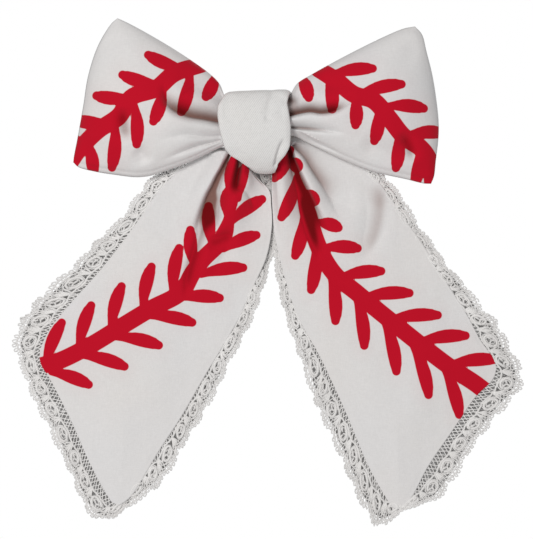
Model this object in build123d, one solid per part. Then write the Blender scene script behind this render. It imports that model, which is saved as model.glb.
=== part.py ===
"""Cheer hair bow: two puffed loops, two lace-edged tails, a knot band and a spring hair clip.

Millimetres. The bow is held as it is worn: +X to the viewer's right, +Z up, front towards -Y.
The origin is the middle of the clip's grip gap, where the hair lies.
"""

import os

from build123d import *

# Cloth
CLOTH = 0.8  # one sewn panel
SEAM_GAP = 0.8  # from a tail's middle plane to the inside of either panel
LACE_THICK = 0.6
SEAM_ALLOWANCE = 5.0  # lace caught inside the seam
THREAD_RADIUS = 0.25
STITCH_PITCH = 1.6
STITCH_LENGTH = 1.1
CINCH_PITCH = 1.2
CINCH_CLEARANCE = 0.5
STITCH_CLEARANCE = 0.25  # a stitch lies proud of the curved cloth under it

# Loops: one flat bag pinched at its middle. Each station across the bow holds the x, z of its
# lowest and its highest point, and how far the front and the back stand from the seam plane.
SEAM_Y = -16.0
LOOP_STATIONS = [
    ((-77.0, -14.6), (-63.5, 47.0), 1.4, 1.4),
    ((-70.0, -16.4), (-57.0, 45.6), 5.2, 4.6),
    ((-58.0, -18.2), (-49.0, 41.2), 9.2, 8.0),
    ((-44.5, -18.6), (-40.0, 36.2), 11.8, 10.0),
    ((-29.1, -13.4), (-29.1, 29.2), 11.6, 9.8),
    ((-20.0, -9.2), (-20.0, 22.3), 9.2, 7.0),
    ((-14.2, -5.6), (-14.2, 13.0), 6.2, 3.4),
    ((0.0, -4.0), (0.0, 11.2), 5.6, 2.9),
    ((12.2, -1.9), (12.2, 12.6), 6.2, 3.4),
    ((18.0, -4.7), (18.0, 20.6), 8.8, 6.4),
    ((27.4, -9.0), (27.4, 25.8), 11.0, 9.4),
    ((40.0, -14.8), (39.0, 32.0), 11.8, 10.0),
    ((54.0, -18.8), (51.0, 38.4), 9.8, 8.4),
    ((66.0, -21.4), (62.0, 41.9), 5.4, 4.8),
    ((74.5, -22.4), (70.5, 44.0), 1.4, 1.4),
]
WAIST = 7  # the station under the knot
LOOP_TRIM = [  # x, z of the sewn outer edges and corners, taken wide of the top and bottom edges
    (-54.0, 50.0), (-57.2, 44.6), (-64.2, 33.7), (-68.4, 21.4), (-70.6, 9.6), (-72.6, -3.3),
    (-74.5, -12.2), (-73.6, -14.4), (-66.0, -17.6), (-60.0, -30.0), (60.0, -30.0), (67.5, -21.6),
    (69.8, -20.6), (71.3, -8.0), (71.9, 2.2), (70.8, 15.0), (67.4, 31.5), (65.4, 38.6),
    (62.6, 41.6), (58.0, 50.0),
]
LOOP_SEAM_INSET = 5.0

# Knot band: a folded strip wrapped once round the waist, the tail roots and the clip base.
BAND = 1.4
KNOT_ROUND = 3.0
KNOT_BACK = -3.7
KNOT_PROFILE = [  # y, z of the ring seen from the side
    (-12.0, 16.2), (-22.0, 15.2), (-26.5, 8.0), (-26.5, -4.0), (-24.5, -12.0), (-17.0, -17.4),
    (-8.0, -16.6), (KNOT_BACK, -7.5), (KNOT_BACK, 7.5),
]
KNOT_SHIELD = [  # x, z of the ring seen from the front
    (12.6, 17.0), (-13.3, 17.0), (-17.0, 9.1), (-15.4, 2.0), (-12.0, -9.8), (-7.7, -12.9),
    (-3.0, -15.8), (1.0, -18.0), (5.6, -18.0), (7.2, -11.8), (12.4, -5.8),
]

# Tails: slant-ended bags, their layers following one gentle curve from knot to hem.
TAIL_ROOT_Y = -10.6
TAIL_MIDDLE_Y = -8.6
TAIL_HEM_Y = -14.0
TAIL_ROOT_Z = 2.0
TAIL_MIDDLE_Z = -78.0
TAIL_HEM_Z = -160.0
TAIL_SPAN = 120.0  # wider than either tail

LEFT_TAIL_OUTER = [(-30.0, -12.2), (-51.5, -40.0), (-77.2, -71.0), (-88.0, -86.4)]
LEFT_TAIL_HEM = [(-88.0, -93.1), (-74.8, -118.2), (-56.4, -150.0)]
LEFT_TAIL_INNER = [(-51.5, -147.0), (-22.1, -99.2), (-4.0, -66.1), (4.6, -40.0), (4.2, -26.0)]
LEFT_TAIL_ROOT = [(-3.3, -18.2), (-9.6, -18.2), (-9.6, -12.6), (-1.0, -12.6), (-1.0, -7.4), (-14.0, -8.2)]

RIGHT_TAIL_OUTER = [(44.0, -15.0), (52.8, -26.8), (74.8, -60.0), (92.6, -89.5)]
RIGHT_TAIL_HEM = [(94.3, -94.0), (77.6, -120.8), (58.2, -150.9)]
RIGHT_TAIL_INNER = [(54.3, -151.9), (34.7, -112.9), (16.2, -76.0), (6.6, -41.2), (5.6, -25.0)]
RIGHT_TAIL_ROOT = [(6.6, -18.2), (8.2, -12.6), (1.0, -12.6), (1.0, -7.4), (14.0, -4.6), (30.0, -8.4)]

LEFT_LACE = [
    (-40.0, -17.5), (-57.0, -37.2), (-80.4, -60.6), (-95.6, -76.5), (-98.4, -86.0), (-87.6, -112.0),
    (-76.0, -134.7), (-65.5, -154.0), (-59.4, -154.0), (-40.5, -142.7), (-22.7, -113.9),
    (-7.6, -85.7), (3.1, -55.0),
]
RIGHT_LACE = [
    (49.2, -19.2), (64.0, -37.0), (83.4, -62.5), (96.2, -78.3), (104.3, -99.0), (93.6, -115.0),
    (80.0, -134.9), (71.3, -145.6), (52.9, -155.5), (48.0, -157.0), (37.1, -138.8),
    (22.5, -105.2), (11.8, -74.6), (7.4, -56.0),
]

# Clip: stamped strips of spring steel, hinged at the right end and caught at the left.
CLIP_HALF = 36.0
CLIP_WIDTH = 8.5
BASE_THICK = 0.8
BASE_END_Y = -2.4
BASE_MIDDLE_Y = -6.5
EAR_THICK = 0.8
EAR_RADIUS = 1.9
PIN_X = 33.6
PIN_RADIUS = 0.8
PIN_HEAD_RADIUS = 1.2
PIN_HEAD = 0.4
RUNNING_FIT = 0.06  # radial, knuckle on pin
ARM_WIDTH = 6.0
ARM_THICK = 0.7
ARM_MIDDLE_Y = 3.4
ARM_END_Y = 1.5
ARM_KNUCKLE = 1.7
KNUCKLE_WALL = 0.7
BAR_WIDTH = 4.0
BAR_THICK = 0.5
BAR_MIDDLE_Y = -2.7
BAR_TIP_Y = -2.2
BAR_TIP_X = -30.0
BAR_KNUCKLE = 1.5
TAB_WIDTH = 11.0
TAB_LENGTH = 4.5
CATCH_TOP = 1.2
CATCH_LIP = 0.7
ANCHOR_X = 27.0
ANCHOR_HOLE_RADIUS = 1.1


def section(low, high, near, far):
    """Crescent cross-section of one loop panel: near and far are its seam and middle places in Y."""
    (x0, z0), (x1, z1) = low, high
    x, z = (x0 + x1) / 2, (z0 + z1) / 2
    skin = CLOTH if far > near else -CLOTH
    outer = ThreePointArc((x0, near + skin, z0), (x, far, z), (x1, near + skin, z1))
    inner = ThreePointArc((x1, near, z1), (x, far - skin, z), (x0, near, z0))
    top = Line((x1, near + skin, z1), (x1, near, z1))
    bottom = Line((x0, near, z0), (x0, near + skin, z0))
    return Wire([outer, top, inner, bottom])


def loop_panel(front):
    """Front or back panel of the loops, lofted through every station and cut to its outer edges."""
    wires = []
    for low, high, front_rise, back_rise in LOOP_STATIONS:
        far = SEAM_Y - front_rise if front else SEAM_Y + back_rise
        near = SEAM_Y + (-0.1 if front else 0.1)
        wires.append(section(low, high, near, far))
    trim = extrude(Plane.XZ * make_face(Polyline(*LOOP_TRIM, close=True)), 40.0, both=True)
    return Part() + Solid.make_loft(wires) & trim


def front_surface_y(panel, x, z):
    """Where the outside of the loops' front panel stands at a point."""
    hits = panel.find_intersection_points(Axis((x, -60.0, z), (0, 1, 0)))
    return min(point.Y for point, _ in hits)


def thread_tube(points, radius=THREAD_RADIUS):
    """Thread along straight runs between points."""
    route = Polyline(*points)
    start = Plane(origin=route @ 0, z_dir=route % 0)
    return sweep(start * Circle(radius), path=route, transition=Transition.ROUND)


def loops_seam_thread():
    """Seam thread inside the loops, parallel to their outer edges on both sides."""
    runs = Part()
    left = [(-30.0, -13.4), (-43.5, -18.4), (-57.0, -18.0), (-74.0, -14.3), (-57.0, 44.3), (-29.1, 29.2)]
    right = [(27.4, -9.0), (40.0, -14.8), (62.5, -20.4), (70.0, -19.0), (62.5, 41.2), (27.4, 25.8)]
    for corners in (left, right):
        outline = Polyline(*[(x, 0, z) for x, z in corners], close=True)
        inside = make_face(outline)
        ring = offset(inside, -LOOP_SEAM_INSET) - offset(inside, -LOOP_SEAM_INSET - 2 * THREAD_RADIUS)
        runs += Pos(0, SEAM_Y + THREAD_RADIUS, 0) * extrude(ring, 2 * THREAD_RADIUS, dir=(0, -1, 0))
    return runs


def stitch_row(panel, start, end):
    """Row of separate topstitches lying on the loops' front panel."""
    run = Vector(*end) - Vector(*start)
    count = int(run.length // STITCH_PITCH) + 1
    along = run.normalized()
    stitches = []
    for i in range(count):
        place = Vector(*start) + along * (i * STITCH_PITCH)
        x, z = place.X, place.Z
        y = front_surface_y(panel, x, z) - THREAD_RADIUS - STITCH_CLEARANCE
        plane = Plane(origin=(x, y, z), z_dir=(along.X, 0, along.Z))
        stitches.append(plane * Cylinder(THREAD_RADIUS, STITCH_LENGTH))
    return stitches


def cinch_thread():
    """Three turns of thread drawn tight round the loops' waist."""
    (x, low), (_, high), front_rise, back_rise = LOOP_STATIONS[WAIST]
    width = front_rise + back_rise + 2 * CINCH_CLEARANCE
    height = high - low + 2 * CINCH_CLEARANCE
    turns = []
    for step in (-1, 0, 1):
        origin = (x + step * CINCH_PITCH, SEAM_Y + (back_rise - front_rise) / 2, (low + high) / 2)
        outer = Rectangle(width + 4 * THREAD_RADIUS, height + 4 * THREAD_RADIUS)
        inner = Rectangle(width, height)
        ring = fillet(outer.vertices(), 2.5) - fillet(inner.vertices(), 2.0)
        plane = Plane(origin=origin, x_dir=(0, 1, 0), z_dir=(1, 0, 0))
        turns.append(extrude(plane * ring, THREAD_RADIUS, both=True))
    return turns


def knot_band():
    """Closed ring round the waist: tall and domed in front, narrow behind the clip base."""
    outside = make_face(Polyline(*KNOT_PROFILE, close=True))
    inside = offset(outside, -BAND, kind=Kind.INTERSECTION)
    ring = fillet(outside.vertices(), KNOT_ROUND) - fillet(inside.vertices(), KNOT_ROUND - BAND)
    tube = extrude(Plane.YZ * ring, 20.0, both=True)
    shield = make_face(Polyline(*KNOT_SHIELD, close=True))
    return tube & extrude(Plane.XZ * shield, 40.0, both=True)


def knot_closing_stitches():
    """Hand stitches that close the band behind the clip base."""
    stitches = []
    for i in range(5):
        plane = Plane(origin=(-1.5, KNOT_BACK + THREAD_RADIUS + 0.05, (i - 2) * 2.4), z_dir=(1, 0, 0.25))
        stitches.append(plane * Cylinder(THREAD_RADIUS, 4.0))
    return stitches


def tail_face(outer, hem, inner, root):
    """Flat outline of one tail: outer side, slanted hem, inner side and the root in the knot."""
    lift = [[(x, 0, z) for x, z in points] for points in (outer, hem, inner, root)]
    outer, hem, inner, root = lift
    edges = [Spline(*outer), Polyline(outer[-1], *hem, inner[0]), Spline(*inner)]
    edges.append(Polyline(inner[-1], *root, outer[0]))
    return make_face(edges)


def tail_slab(near, far):
    """Sheet between two offsets from the tails' curved middle plane, wider than either tail."""
    curves = []
    for shift in (near, far):
        curves.append(
            ThreePointArc(
                (0, TAIL_ROOT_Y + shift, TAIL_ROOT_Z),
                (0, TAIL_MIDDLE_Y + shift, TAIL_MIDDLE_Z),
                (0, TAIL_HEM_Y + shift, TAIL_HEM_Z),
            )
        )
    ends = [Line(curves[0] @ 0, curves[1] @ 0), Line(curves[0] @ 1, curves[1] @ 1)]
    return extrude(make_face([*curves, *ends]), TAIL_SPAN, both=True, dir=(1, 0, 0))


def cut_from_slab(face, near, far):
    """Piece of the curved sheet under a flat outline."""
    return tail_slab(near, far) & extrude(face, 60.0, both=True, dir=(0, 1, 0))


def seam_line(outer, hem, inner, inset):
    """Straight-sided region inside a tail's three sewn sides, set in by the given distance."""
    corners = [(x, 0, z) for x, z in [*outer, *hem[1:], *inner]]
    return offset(make_face(Polyline(*corners, close=True)), -inset, kind=Kind.INTERSECTION)


def tail_parts(side, outer, hem, inner, root, lace_points):
    """Front and back panels, lace and seam thread of one tail."""
    outline = tail_face(outer, hem, inner, root)
    lace = make_face(Polyline(*[(x, 0, z) for x, z in lace_points], close=True))
    lace -= seam_line(outer, hem, inner, SEAM_ALLOWANCE)
    seam = seam_line(outer, hem, inner, 2.0) - seam_line(outer, hem, inner, 2.4)
    thread_far = LACE_THICK / 2 + 0.05
    return {
        f"tail_{side}_front_panel": cut_from_slab(outline, -SEAM_GAP - CLOTH, -SEAM_GAP),
        f"tail_{side}_back_panel": cut_from_slab(outline, SEAM_GAP, SEAM_GAP + CLOTH),
        f"tail_{side}_lace": cut_from_slab(lace, -LACE_THICK / 2, LACE_THICK / 2),
        f"tail_{side}_seam_thread": cut_from_slab(seam, -SEAM_GAP + 0.05, -thread_far),
    }


def strip(points, thick, width):
    """Bowed strip of steel through three points of its middle line in the XY plane."""
    (x0, y0), (x1, y1), (x2, y2) = points
    half = thick / 2
    near = ThreePointArc((x0, y0 - half), (x1, y1 - half), (x2, y2 - half))
    far = ThreePointArc((x0, y0 + half), (x1, y1 + half), (x2, y2 + half))
    ends = [Line(near @ 0, far @ 0), Line(near @ 1, far @ 1)]
    return extrude(make_face([near, far, *ends]), width / 2, both=True)


def knuckle(radius, low, high):
    """Short barrel round the pin's axis between two heights, before it is bored."""
    return Pos(PIN_X, 0, (low + high) / 2) * Cylinder(radius, high - low)


def barrette_base():
    """Curved base strip with hinge ears, a catch and two sewing holes."""
    ends = (CLIP_HALF, BASE_END_Y)
    body = strip([(-CLIP_HALF, BASE_END_Y), (0, BASE_MIDDLE_Y), ends], BASE_THICK, CLIP_WIDTH)
    edge = CLIP_WIDTH / 2
    for side in (-1, 1):
        z = side * (edge - EAR_THICK / 2)
        cheek = Pos(PIN_X, (BASE_END_Y - 0.3) / 2, z) * Box(2 * EAR_RADIUS, -BASE_END_Y + 0.3, EAR_THICK)
        body += cheek + Pos(PIN_X, 0, z) * Cylinder(EAR_RADIUS, EAR_THICK)
        post_height = CATCH_TOP - BASE_END_Y
        post = Pos(-CLIP_HALF + 1.5, BASE_END_Y + post_height / 2, z) * Box(2.6, post_height, EAR_THICK)
        lip_z = side * (edge - EAR_THICK - CATCH_LIP / 2)
        lip = Pos(-CLIP_HALF + 1.5, CATCH_TOP + 0.25, lip_z) * Box(2.6, 0.5, CATCH_LIP)
        cap = Pos(-CLIP_HALF + 1.5, CATCH_TOP + 0.25, z) * Box(2.6, 0.5, EAR_THICK)
        body += post + cap + lip
        hole = Pos(side * ANCHOR_X, -5, 0) * Rot(90, 0, 0) * Cylinder(ANCHOR_HOLE_RADIUS, 12)
        body -= hole
    body -= knuckle(PIN_RADIUS, -10, 10)
    return body


def barrette_pin():
    """Hinge pin, peened over at both ends."""
    edge = CLIP_WIDTH / 2
    pin = knuckle(PIN_RADIUS, -edge, edge)
    return pin + knuckle(PIN_HEAD_RADIUS, edge, edge + PIN_HEAD) + knuckle(PIN_HEAD_RADIUS, -edge - PIN_HEAD, -edge)


def barrette_arm():
    """Closing arm: a bowed strip with two knuckles on the pin and a thumb tab past the catch."""
    tip_x = -CLIP_HALF - 1.0
    bar = strip([(PIN_X, ARM_END_Y), (0, ARM_MIDDLE_Y), (tip_x, ARM_END_Y)], ARM_THICK, ARM_WIDTH)
    narrow = CLIP_WIDTH - 2 * (EAR_THICK + CATCH_LIP) - 0.4
    bar -= Pos(-CLIP_HALF + 1.0, ARM_END_Y, 0) * (Box(5.0, 4, 20) - Box(5.0, 4, narrow))
    tab = Pos(tip_x - TAB_LENGTH / 2 + 0.5, ARM_END_Y + 0.1, 0) * Box(TAB_LENGTH, ARM_THICK, TAB_WIDTH)
    tab = fillet(tab.edges().filter_by(Axis.Y), 1.4)
    bar += tab
    outer = ARM_WIDTH / 2
    for low, high in ((outer - KNUCKLE_WALL, outer), (-outer, -outer + KNUCKLE_WALL)):
        bar += knuckle(ARM_KNUCKLE, low, high)
    slot = Pos(PIN_X + 0.4, 0, 0) * Box(5.2, 8.0, 2 * (outer - KNUCKLE_WALL))
    return bar - slot - knuckle(PIN_RADIUS + RUNNING_FIT, -10, 10)


def barrette_spring_bar():
    """Light inner bar that presses the hair against the arm, turning on the same pin."""
    bar = strip([(PIN_X, -1.0), (0, BAR_MIDDLE_Y), (BAR_TIP_X, BAR_TIP_Y)], BAR_THICK, BAR_WIDTH)
    bar += knuckle(BAR_KNUCKLE, -BAR_WIDTH / 2, BAR_WIDTH / 2)
    return bar - knuckle(PIN_RADIUS + RUNNING_FIT, -10, 10)


def anchor_stitches():
    """Thread sewn through each base hole and over the strip's edges into the loops' back."""
    loops = []
    for side in (-1, 1):
        x = side * ANCHOR_X
        back_y = -2.9
        front_y = -5.9
        edge = CLIP_WIDTH / 2 + 0.6
        loops.append(thread_tube([(x, front_y, 0), (x, back_y, 0), (x, back_y, edge), (x, front_y, edge)]))
    return loops


def write(name, shape):
    """Save one node; a list of solids becomes one group."""
    if isinstance(shape, list):
        shape = Compound(children=[s if isinstance(s, Solid) else s.solids()[0] for s in shape])
    export_step(shape, f"parts/{name}.step")


def main():
    """Build every sub-part and write it."""
    os.makedirs("parts", exist_ok=True)
    front_panel = loop_panel(True)
    parts = {
        "loops_front_panel": front_panel,
        "loops_back_panel": loop_panel(False),
        "loops_seam_thread": loops_seam_thread(),
        "topstitch_left": stitch_row(front_panel, (-21.8, 0, -6.4), (-15.4, 0, -4.4)),
        "topstitch_right": stitch_row(front_panel, (15.6, 0, -1.2), (23.6, 0, -4.6)),
        "cinch_thread": cinch_thread(),
        "knot_band": knot_band(),
        "knot_closing_stitches": knot_closing_stitches(),
        "barrette_base": barrette_base(),
        "barrette_hinge_pin": barrette_pin(),
        "barrette_arm": barrette_arm(),
        "barrette_spring_bar": barrette_spring_bar(),
        "barrette_anchor_stitches": anchor_stitches(),
    }
    parts |= tail_parts(
        "left", LEFT_TAIL_OUTER, LEFT_TAIL_HEM, LEFT_TAIL_INNER, LEFT_TAIL_ROOT, LEFT_LACE
    )
    parts |= tail_parts(
        "right", RIGHT_TAIL_OUTER, RIGHT_TAIL_HEM, RIGHT_TAIL_INNER, RIGHT_TAIL_ROOT, RIGHT_LACE
    )
    for name, shape in parts.items():
        write(name, shape)


main()
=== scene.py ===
"""Cheer hair bow: printed cloth, openwork lace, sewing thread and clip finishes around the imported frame.

The bow is held as it is worn: +X to the viewer's right, +Z up, its front towards -Y.
Drawing sizes are in millimetres and become metres when a mesh is made.
"""

from __future__ import annotations

import logging
import math
from collections.abc import Sequence
from dataclasses import dataclass, field
from enum import Enum

import bpy
import numpy as np
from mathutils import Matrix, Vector


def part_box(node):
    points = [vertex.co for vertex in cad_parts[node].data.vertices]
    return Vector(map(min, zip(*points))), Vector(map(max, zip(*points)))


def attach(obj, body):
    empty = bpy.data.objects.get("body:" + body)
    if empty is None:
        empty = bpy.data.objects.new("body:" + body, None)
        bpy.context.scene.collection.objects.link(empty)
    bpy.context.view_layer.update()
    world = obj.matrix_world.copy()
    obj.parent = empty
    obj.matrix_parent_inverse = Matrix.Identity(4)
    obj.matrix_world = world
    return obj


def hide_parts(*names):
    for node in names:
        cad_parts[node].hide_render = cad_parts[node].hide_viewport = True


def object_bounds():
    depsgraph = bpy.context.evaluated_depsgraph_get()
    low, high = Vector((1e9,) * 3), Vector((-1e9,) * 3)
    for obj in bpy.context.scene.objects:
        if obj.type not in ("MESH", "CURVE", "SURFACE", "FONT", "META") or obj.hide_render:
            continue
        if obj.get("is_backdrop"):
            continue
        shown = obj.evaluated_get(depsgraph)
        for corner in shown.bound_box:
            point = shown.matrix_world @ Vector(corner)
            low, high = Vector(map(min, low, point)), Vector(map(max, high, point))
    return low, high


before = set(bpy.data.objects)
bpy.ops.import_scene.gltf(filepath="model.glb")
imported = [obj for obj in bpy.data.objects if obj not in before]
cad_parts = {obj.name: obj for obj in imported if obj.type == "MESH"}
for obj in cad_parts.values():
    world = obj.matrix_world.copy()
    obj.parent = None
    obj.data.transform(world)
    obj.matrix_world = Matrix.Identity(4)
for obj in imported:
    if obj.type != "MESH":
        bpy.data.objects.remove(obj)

MM = 0.001
# Farther than any part of the bow, in millimetres.
FAR_AWAY = 500.0
log = logging.getLogger("hair_bow")

Point = tuple[float, float]
Place = tuple[float, float, float]
Colour = tuple[float, float, float]
Array = np.ndarray
NodeTree = bpy.types.NodeTree
Socket = bpy.types.NodeSocket


class Face(Enum):
    """Which side of a bag a cloth panel is."""

    FRONT = -1
    BACK = 1


# ---------------------------------------------------------------- drawing helpers


def smooth_path(points: Sequence[Sequence[float]], count: int) -> Array:
    """Even points along a smooth curve through the given ones.

    Args:
        points: the places that the curve passes through, two or three numbers each.
        count: how many points to return.

    Returns:
        An array of count points, equally spaced along the curve.
    """
    knots = np.asarray(points, float)
    chord = np.concatenate([[0.0], np.cumsum(np.sqrt(np.linalg.norm(np.diff(knots, axis=0), axis=1)))])
    slope = np.gradient(knots, chord, axis=0)
    fine = np.linspace(0.0, chord[-1], 24 * len(knots))
    part = np.clip(np.searchsorted(chord, fine, side="right") - 1, 0, len(knots) - 2)
    span = (chord[part + 1] - chord[part])[:, None]
    t = ((fine - chord[part])[:, None]) / span
    near, far = knots[part], knots[part + 1]
    path = (2 * t**3 - 3 * t**2 + 1) * near + (t**3 - 2 * t**2 + t) * span * slope[part]
    path += (3 * t**2 - 2 * t**3) * far + (t**3 - t**2) * span * slope[part + 1]
    return even_path(path, count)


def even_path(path: Array, count: int) -> Array:
    """Resample a polyline to equally spaced points.

    Args:
        path: the polyline's points.
        count: how many points to return.

    Returns:
        The new points, the ends kept.
    """
    along = np.concatenate([[0.0], np.cumsum(np.linalg.norm(np.diff(path, axis=0), axis=1))])
    places = np.linspace(0.0, along[-1], count)
    return np.stack([np.interp(places, along, path[:, i]) for i in range(path.shape[1])], axis=1)


def path_length(path: Array) -> float:
    """Length of a polyline."""
    return float(np.linalg.norm(np.diff(path, axis=0), axis=1).sum())


def ease(value: Array | float, low: float, high: float) -> Array:
    """Smooth step from 0 at low to 1 at high."""
    t = np.clip((np.asarray(value, float) - low) / (high - low), 0.0, 1.0)
    return t * t * (3 - 2 * t)


def coons(start: Array, end: Array, near: Array, far: Array) -> Array:
    """Fill four boundary curves with a grid of points.

    Args:
        start: curve at the first row, from the near curve to the far curve.
        end: curve at the last row, in the same sense.
        near: curve down the first column, from start to end.
        far: curve down the last column, from start to end.

    Returns:
        Array of rows, columns and coordinates.
    """
    u = np.linspace(0, 1, len(start))[None, :, None]
    v = np.linspace(0, 1, len(near))[:, None, None]
    sides = (1 - u) * near[:, None, :] + u * far[:, None, :]
    ends = (1 - v) * start[None] + v * end[None]
    corners = (1 - v) * ((1 - u) * start[0] + u * start[-1]) + v * ((1 - u) * end[0] + u * end[-1])
    return sides + ends - corners


def distance_to_path(x: Array, z: Array, path: Array) -> tuple[Array, Array, Array]:
    """Distance from each place to a polyline.

    Args:
        x: first coordinates of the places.
        z: second coordinates of the places.
        path: the polyline.

    Returns:
        The distance, the side (+1 to the left of the path, -1 to its right) and the share of the
        path's length at the nearest point.
    """
    steps = np.linalg.norm(np.diff(path, axis=0), axis=1)
    along = np.concatenate([[0.0], np.cumsum(steps)]) / steps.sum()
    best = np.full(x.shape, np.inf)
    side = np.ones(x.shape)
    share = np.zeros(x.shape)
    for i, (a, b) in enumerate(zip(path, path[1:])):
        run = b - a
        px, pz = x - a[0], z - a[1]
        t = np.clip((px * run[0] + pz * run[1]) / (run @ run), 0, 1)
        gap = np.hypot(px - t * run[0], pz - t * run[1])
        closer = gap < best
        best = np.where(closer, gap, best)
        side = np.where(closer, np.where(run[0] * pz - run[1] * px >= 0, 1.0, -1.0), side)
        share = np.where(closer, along[i] + t * (along[i + 1] - along[i]), share)
    return best, side, share


# ---------------------------------------------------------------- mesh helpers


def grid_mesh(name: str, points: Array, inside: Sequence[float], closed: bool = False) -> bpy.types.Object:
    """Mesh object from a grid of points in millimetres.

    Args:
        name: the object's name.
        points: rows, columns, coordinates.
        inside: a place on the hidden side; the faces look away from it.
        closed: join the last column to the first.

    Returns:
        The new object, linked and smooth shaded.
    """
    rows, columns = points.shape[:2]
    index = np.arange(rows * columns).reshape(rows, columns)
    if closed:
        index = np.concatenate([index, index[:, :1]], axis=1)
    quads = np.stack([index[:-1, :-1], index[:-1, 1:], index[1:, 1:], index[1:, :-1]], axis=-1).reshape(-1, 4)
    places = points.reshape(-1, 3)
    a, b, c, d = (places[quads[:, i]] for i in range(4))
    looking = np.cross(c - a, d - b) * ((a + c) / 2 - np.asarray(inside, float))
    if looking.sum() < 0:
        quads = quads[:, ::-1]
    return mesh_object(name, places, quads)


def mesh_object(name: str, places: Array, quads: Array) -> bpy.types.Object:
    """Mesh object from places in millimetres and four-cornered faces.

    Args:
        name: the object's name.
        places: vertices in millimetres.
        quads: four vertex numbers for each face.

    Returns:
        The new object, linked and smooth shaded.
    """
    mesh = bpy.data.meshes.new(name)
    mesh.from_pydata((places * MM).tolist(), [], quads.tolist())
    mesh.shade_smooth()
    mesh.update()
    piece = bpy.data.objects.new(name, mesh)
    bpy.context.scene.collection.objects.link(piece)
    return piece


def set_attribute(piece: bpy.types.Object, name: str, values: Array) -> None:
    """Store one number per vertex."""
    store = piece.data.attributes.new(name, "FLOAT", "POINT")
    store.data.foreach_set("value", np.asarray(values, np.float32).ravel())


def thicken(piece: bpy.types.Object, thickness: float, offset: float) -> None:
    """Give a sheet its cloth thickness in millimetres and apply it.

    Args:
        piece: the sheet.
        thickness: how thick it becomes.
        offset: -1 to grow behind the sheet, 1 to grow in front of it.
    """
    solid = piece.modifiers.new("cloth thickness", "SOLIDIFY")
    solid.thickness = thickness * MM
    solid.offset = offset
    solid.use_even_offset = True
    apply_modifiers(piece)


def apply_modifiers(piece: bpy.types.Object) -> None:
    """Replace a piece's mesh with the result of its modifiers.

    Args:
        piece: the piece.
    """
    shape = piece.evaluated_get(bpy.context.evaluated_depsgraph_get())
    mesh = bpy.data.meshes.new_from_object(shape)
    piece.modifiers.clear()
    piece.data = mesh


def tubes(name: str, paths: Sequence[Array], radii: Sequence[float], sides: int = 4) -> bpy.types.Object:
    """One mesh of round threads, closed at their ends.

    Args:
        name: the object's name.
        paths: each thread's points in millimetres.
        radii: each thread's radius in millimetres.
        sides: corners of a thread's section.

    Returns:
        The new object.
    """
    turn = np.linspace(0, 2 * math.pi, sides, endpoint=False)
    places: list[Array] = []
    faces: list[Array] = []
    offset = 0
    for path, radius in zip(paths, radii):
        along = np.gradient(path, axis=0)
        along /= np.linalg.norm(along, axis=1, keepdims=True) + 1e-9
        up = np.array([0.0, 1.0, 0.0]) + 0.01 * along
        across = np.cross(along, up)
        across /= np.linalg.norm(across, axis=1, keepdims=True) + 1e-9
        rise = np.cross(across, along)
        ring = np.cos(turn)[None, :, None] * across[:, None] + np.sin(turn)[None, :, None] * rise[:, None]
        body = path[:, None] + radius * ring
        tips = (np.repeat(path[:1, None], sides, axis=1), np.repeat(path[-1:, None], sides, axis=1))
        places.append(np.concatenate([tips[0], body, tips[1]]).reshape(-1, 3))
        rows = len(path) + 2
        index = offset + np.arange(rows * sides).reshape(rows, sides)
        wrapped = np.concatenate([index, index[:, :1]], axis=1)
        quads = np.stack([wrapped[1:, :-1], wrapped[1:, 1:], wrapped[:-1, 1:], wrapped[:-1, :-1]], axis=-1)
        faces.append(quads.reshape(-1, 4))
        offset += rows * sides
    return mesh_object(name, np.concatenate(places), np.concatenate(faces))


def dress(piece: bpy.types.Object, finish: bpy.types.Material, slot: str, *cad: str) -> None:
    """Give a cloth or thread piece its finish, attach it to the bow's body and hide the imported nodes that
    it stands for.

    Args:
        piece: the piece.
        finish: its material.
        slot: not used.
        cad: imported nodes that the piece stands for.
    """
    piece.data.materials.append(finish)
    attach(piece, "bow")
    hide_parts(*cad)


# ---------------------------------------------------------------- finishes


def node(tree: NodeTree, kind: str, **inputs: object) -> bpy.types.Node:
    """Add a shader node and set its inputs.

    Args:
        tree: the material's nodes.
        kind: the node's type.
        inputs: values by input name, with underscores for spaces.

    Returns:
        The new node.
    """
    made = tree.nodes.new(kind)
    settle(made, **inputs)
    return made


def settle(made: bpy.types.Node, **inputs: object) -> None:
    """Set a node's own inputs, with underscores for the spaces in their names."""
    for name, value in inputs.items():
        made.inputs[name.replace("_", " ")].default_value = value


def feed(tree: NodeTree, made: bpy.types.Node, **inputs: Socket) -> None:
    """Link sockets to a node's inputs, with underscores for the spaces in their names."""
    for name, socket in inputs.items():
        tree.links.new(socket, made.inputs[name.replace("_", " ")])


def blank_material(name: str, **inputs: object) -> tuple[bpy.types.Material, NodeTree, bpy.types.Node]:
    """Material with one Principled shader.

    Args:
        name: the material's name.
        inputs: values that are the same all over, set on the shader's own sockets.

    Returns:
        The material, its nodes and the shader.
    """
    made = bpy.data.materials.new(name)
    made.use_nodes = True
    shader = made.node_tree.nodes["Principled BSDF"]
    settle(shader, **inputs)
    return made, made.node_tree, shader


def join(tree: NodeTree, operation: str, first: Socket | None, second: Socket) -> Socket:
    """Combine two values with a maths node.

    Args:
        tree: the material's nodes.
        operation: the sum to do.
        first: first value, or none to pass the second on.
        second: second value.

    Returns:
        The result.
    """
    if first is None:
        return second
    made = node(tree, "ShaderNodeMath")
    made.operation = operation
    tree.links.new(first, made.inputs[0])
    tree.links.new(second, made.inputs[1])
    return made.outputs[0]


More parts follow.
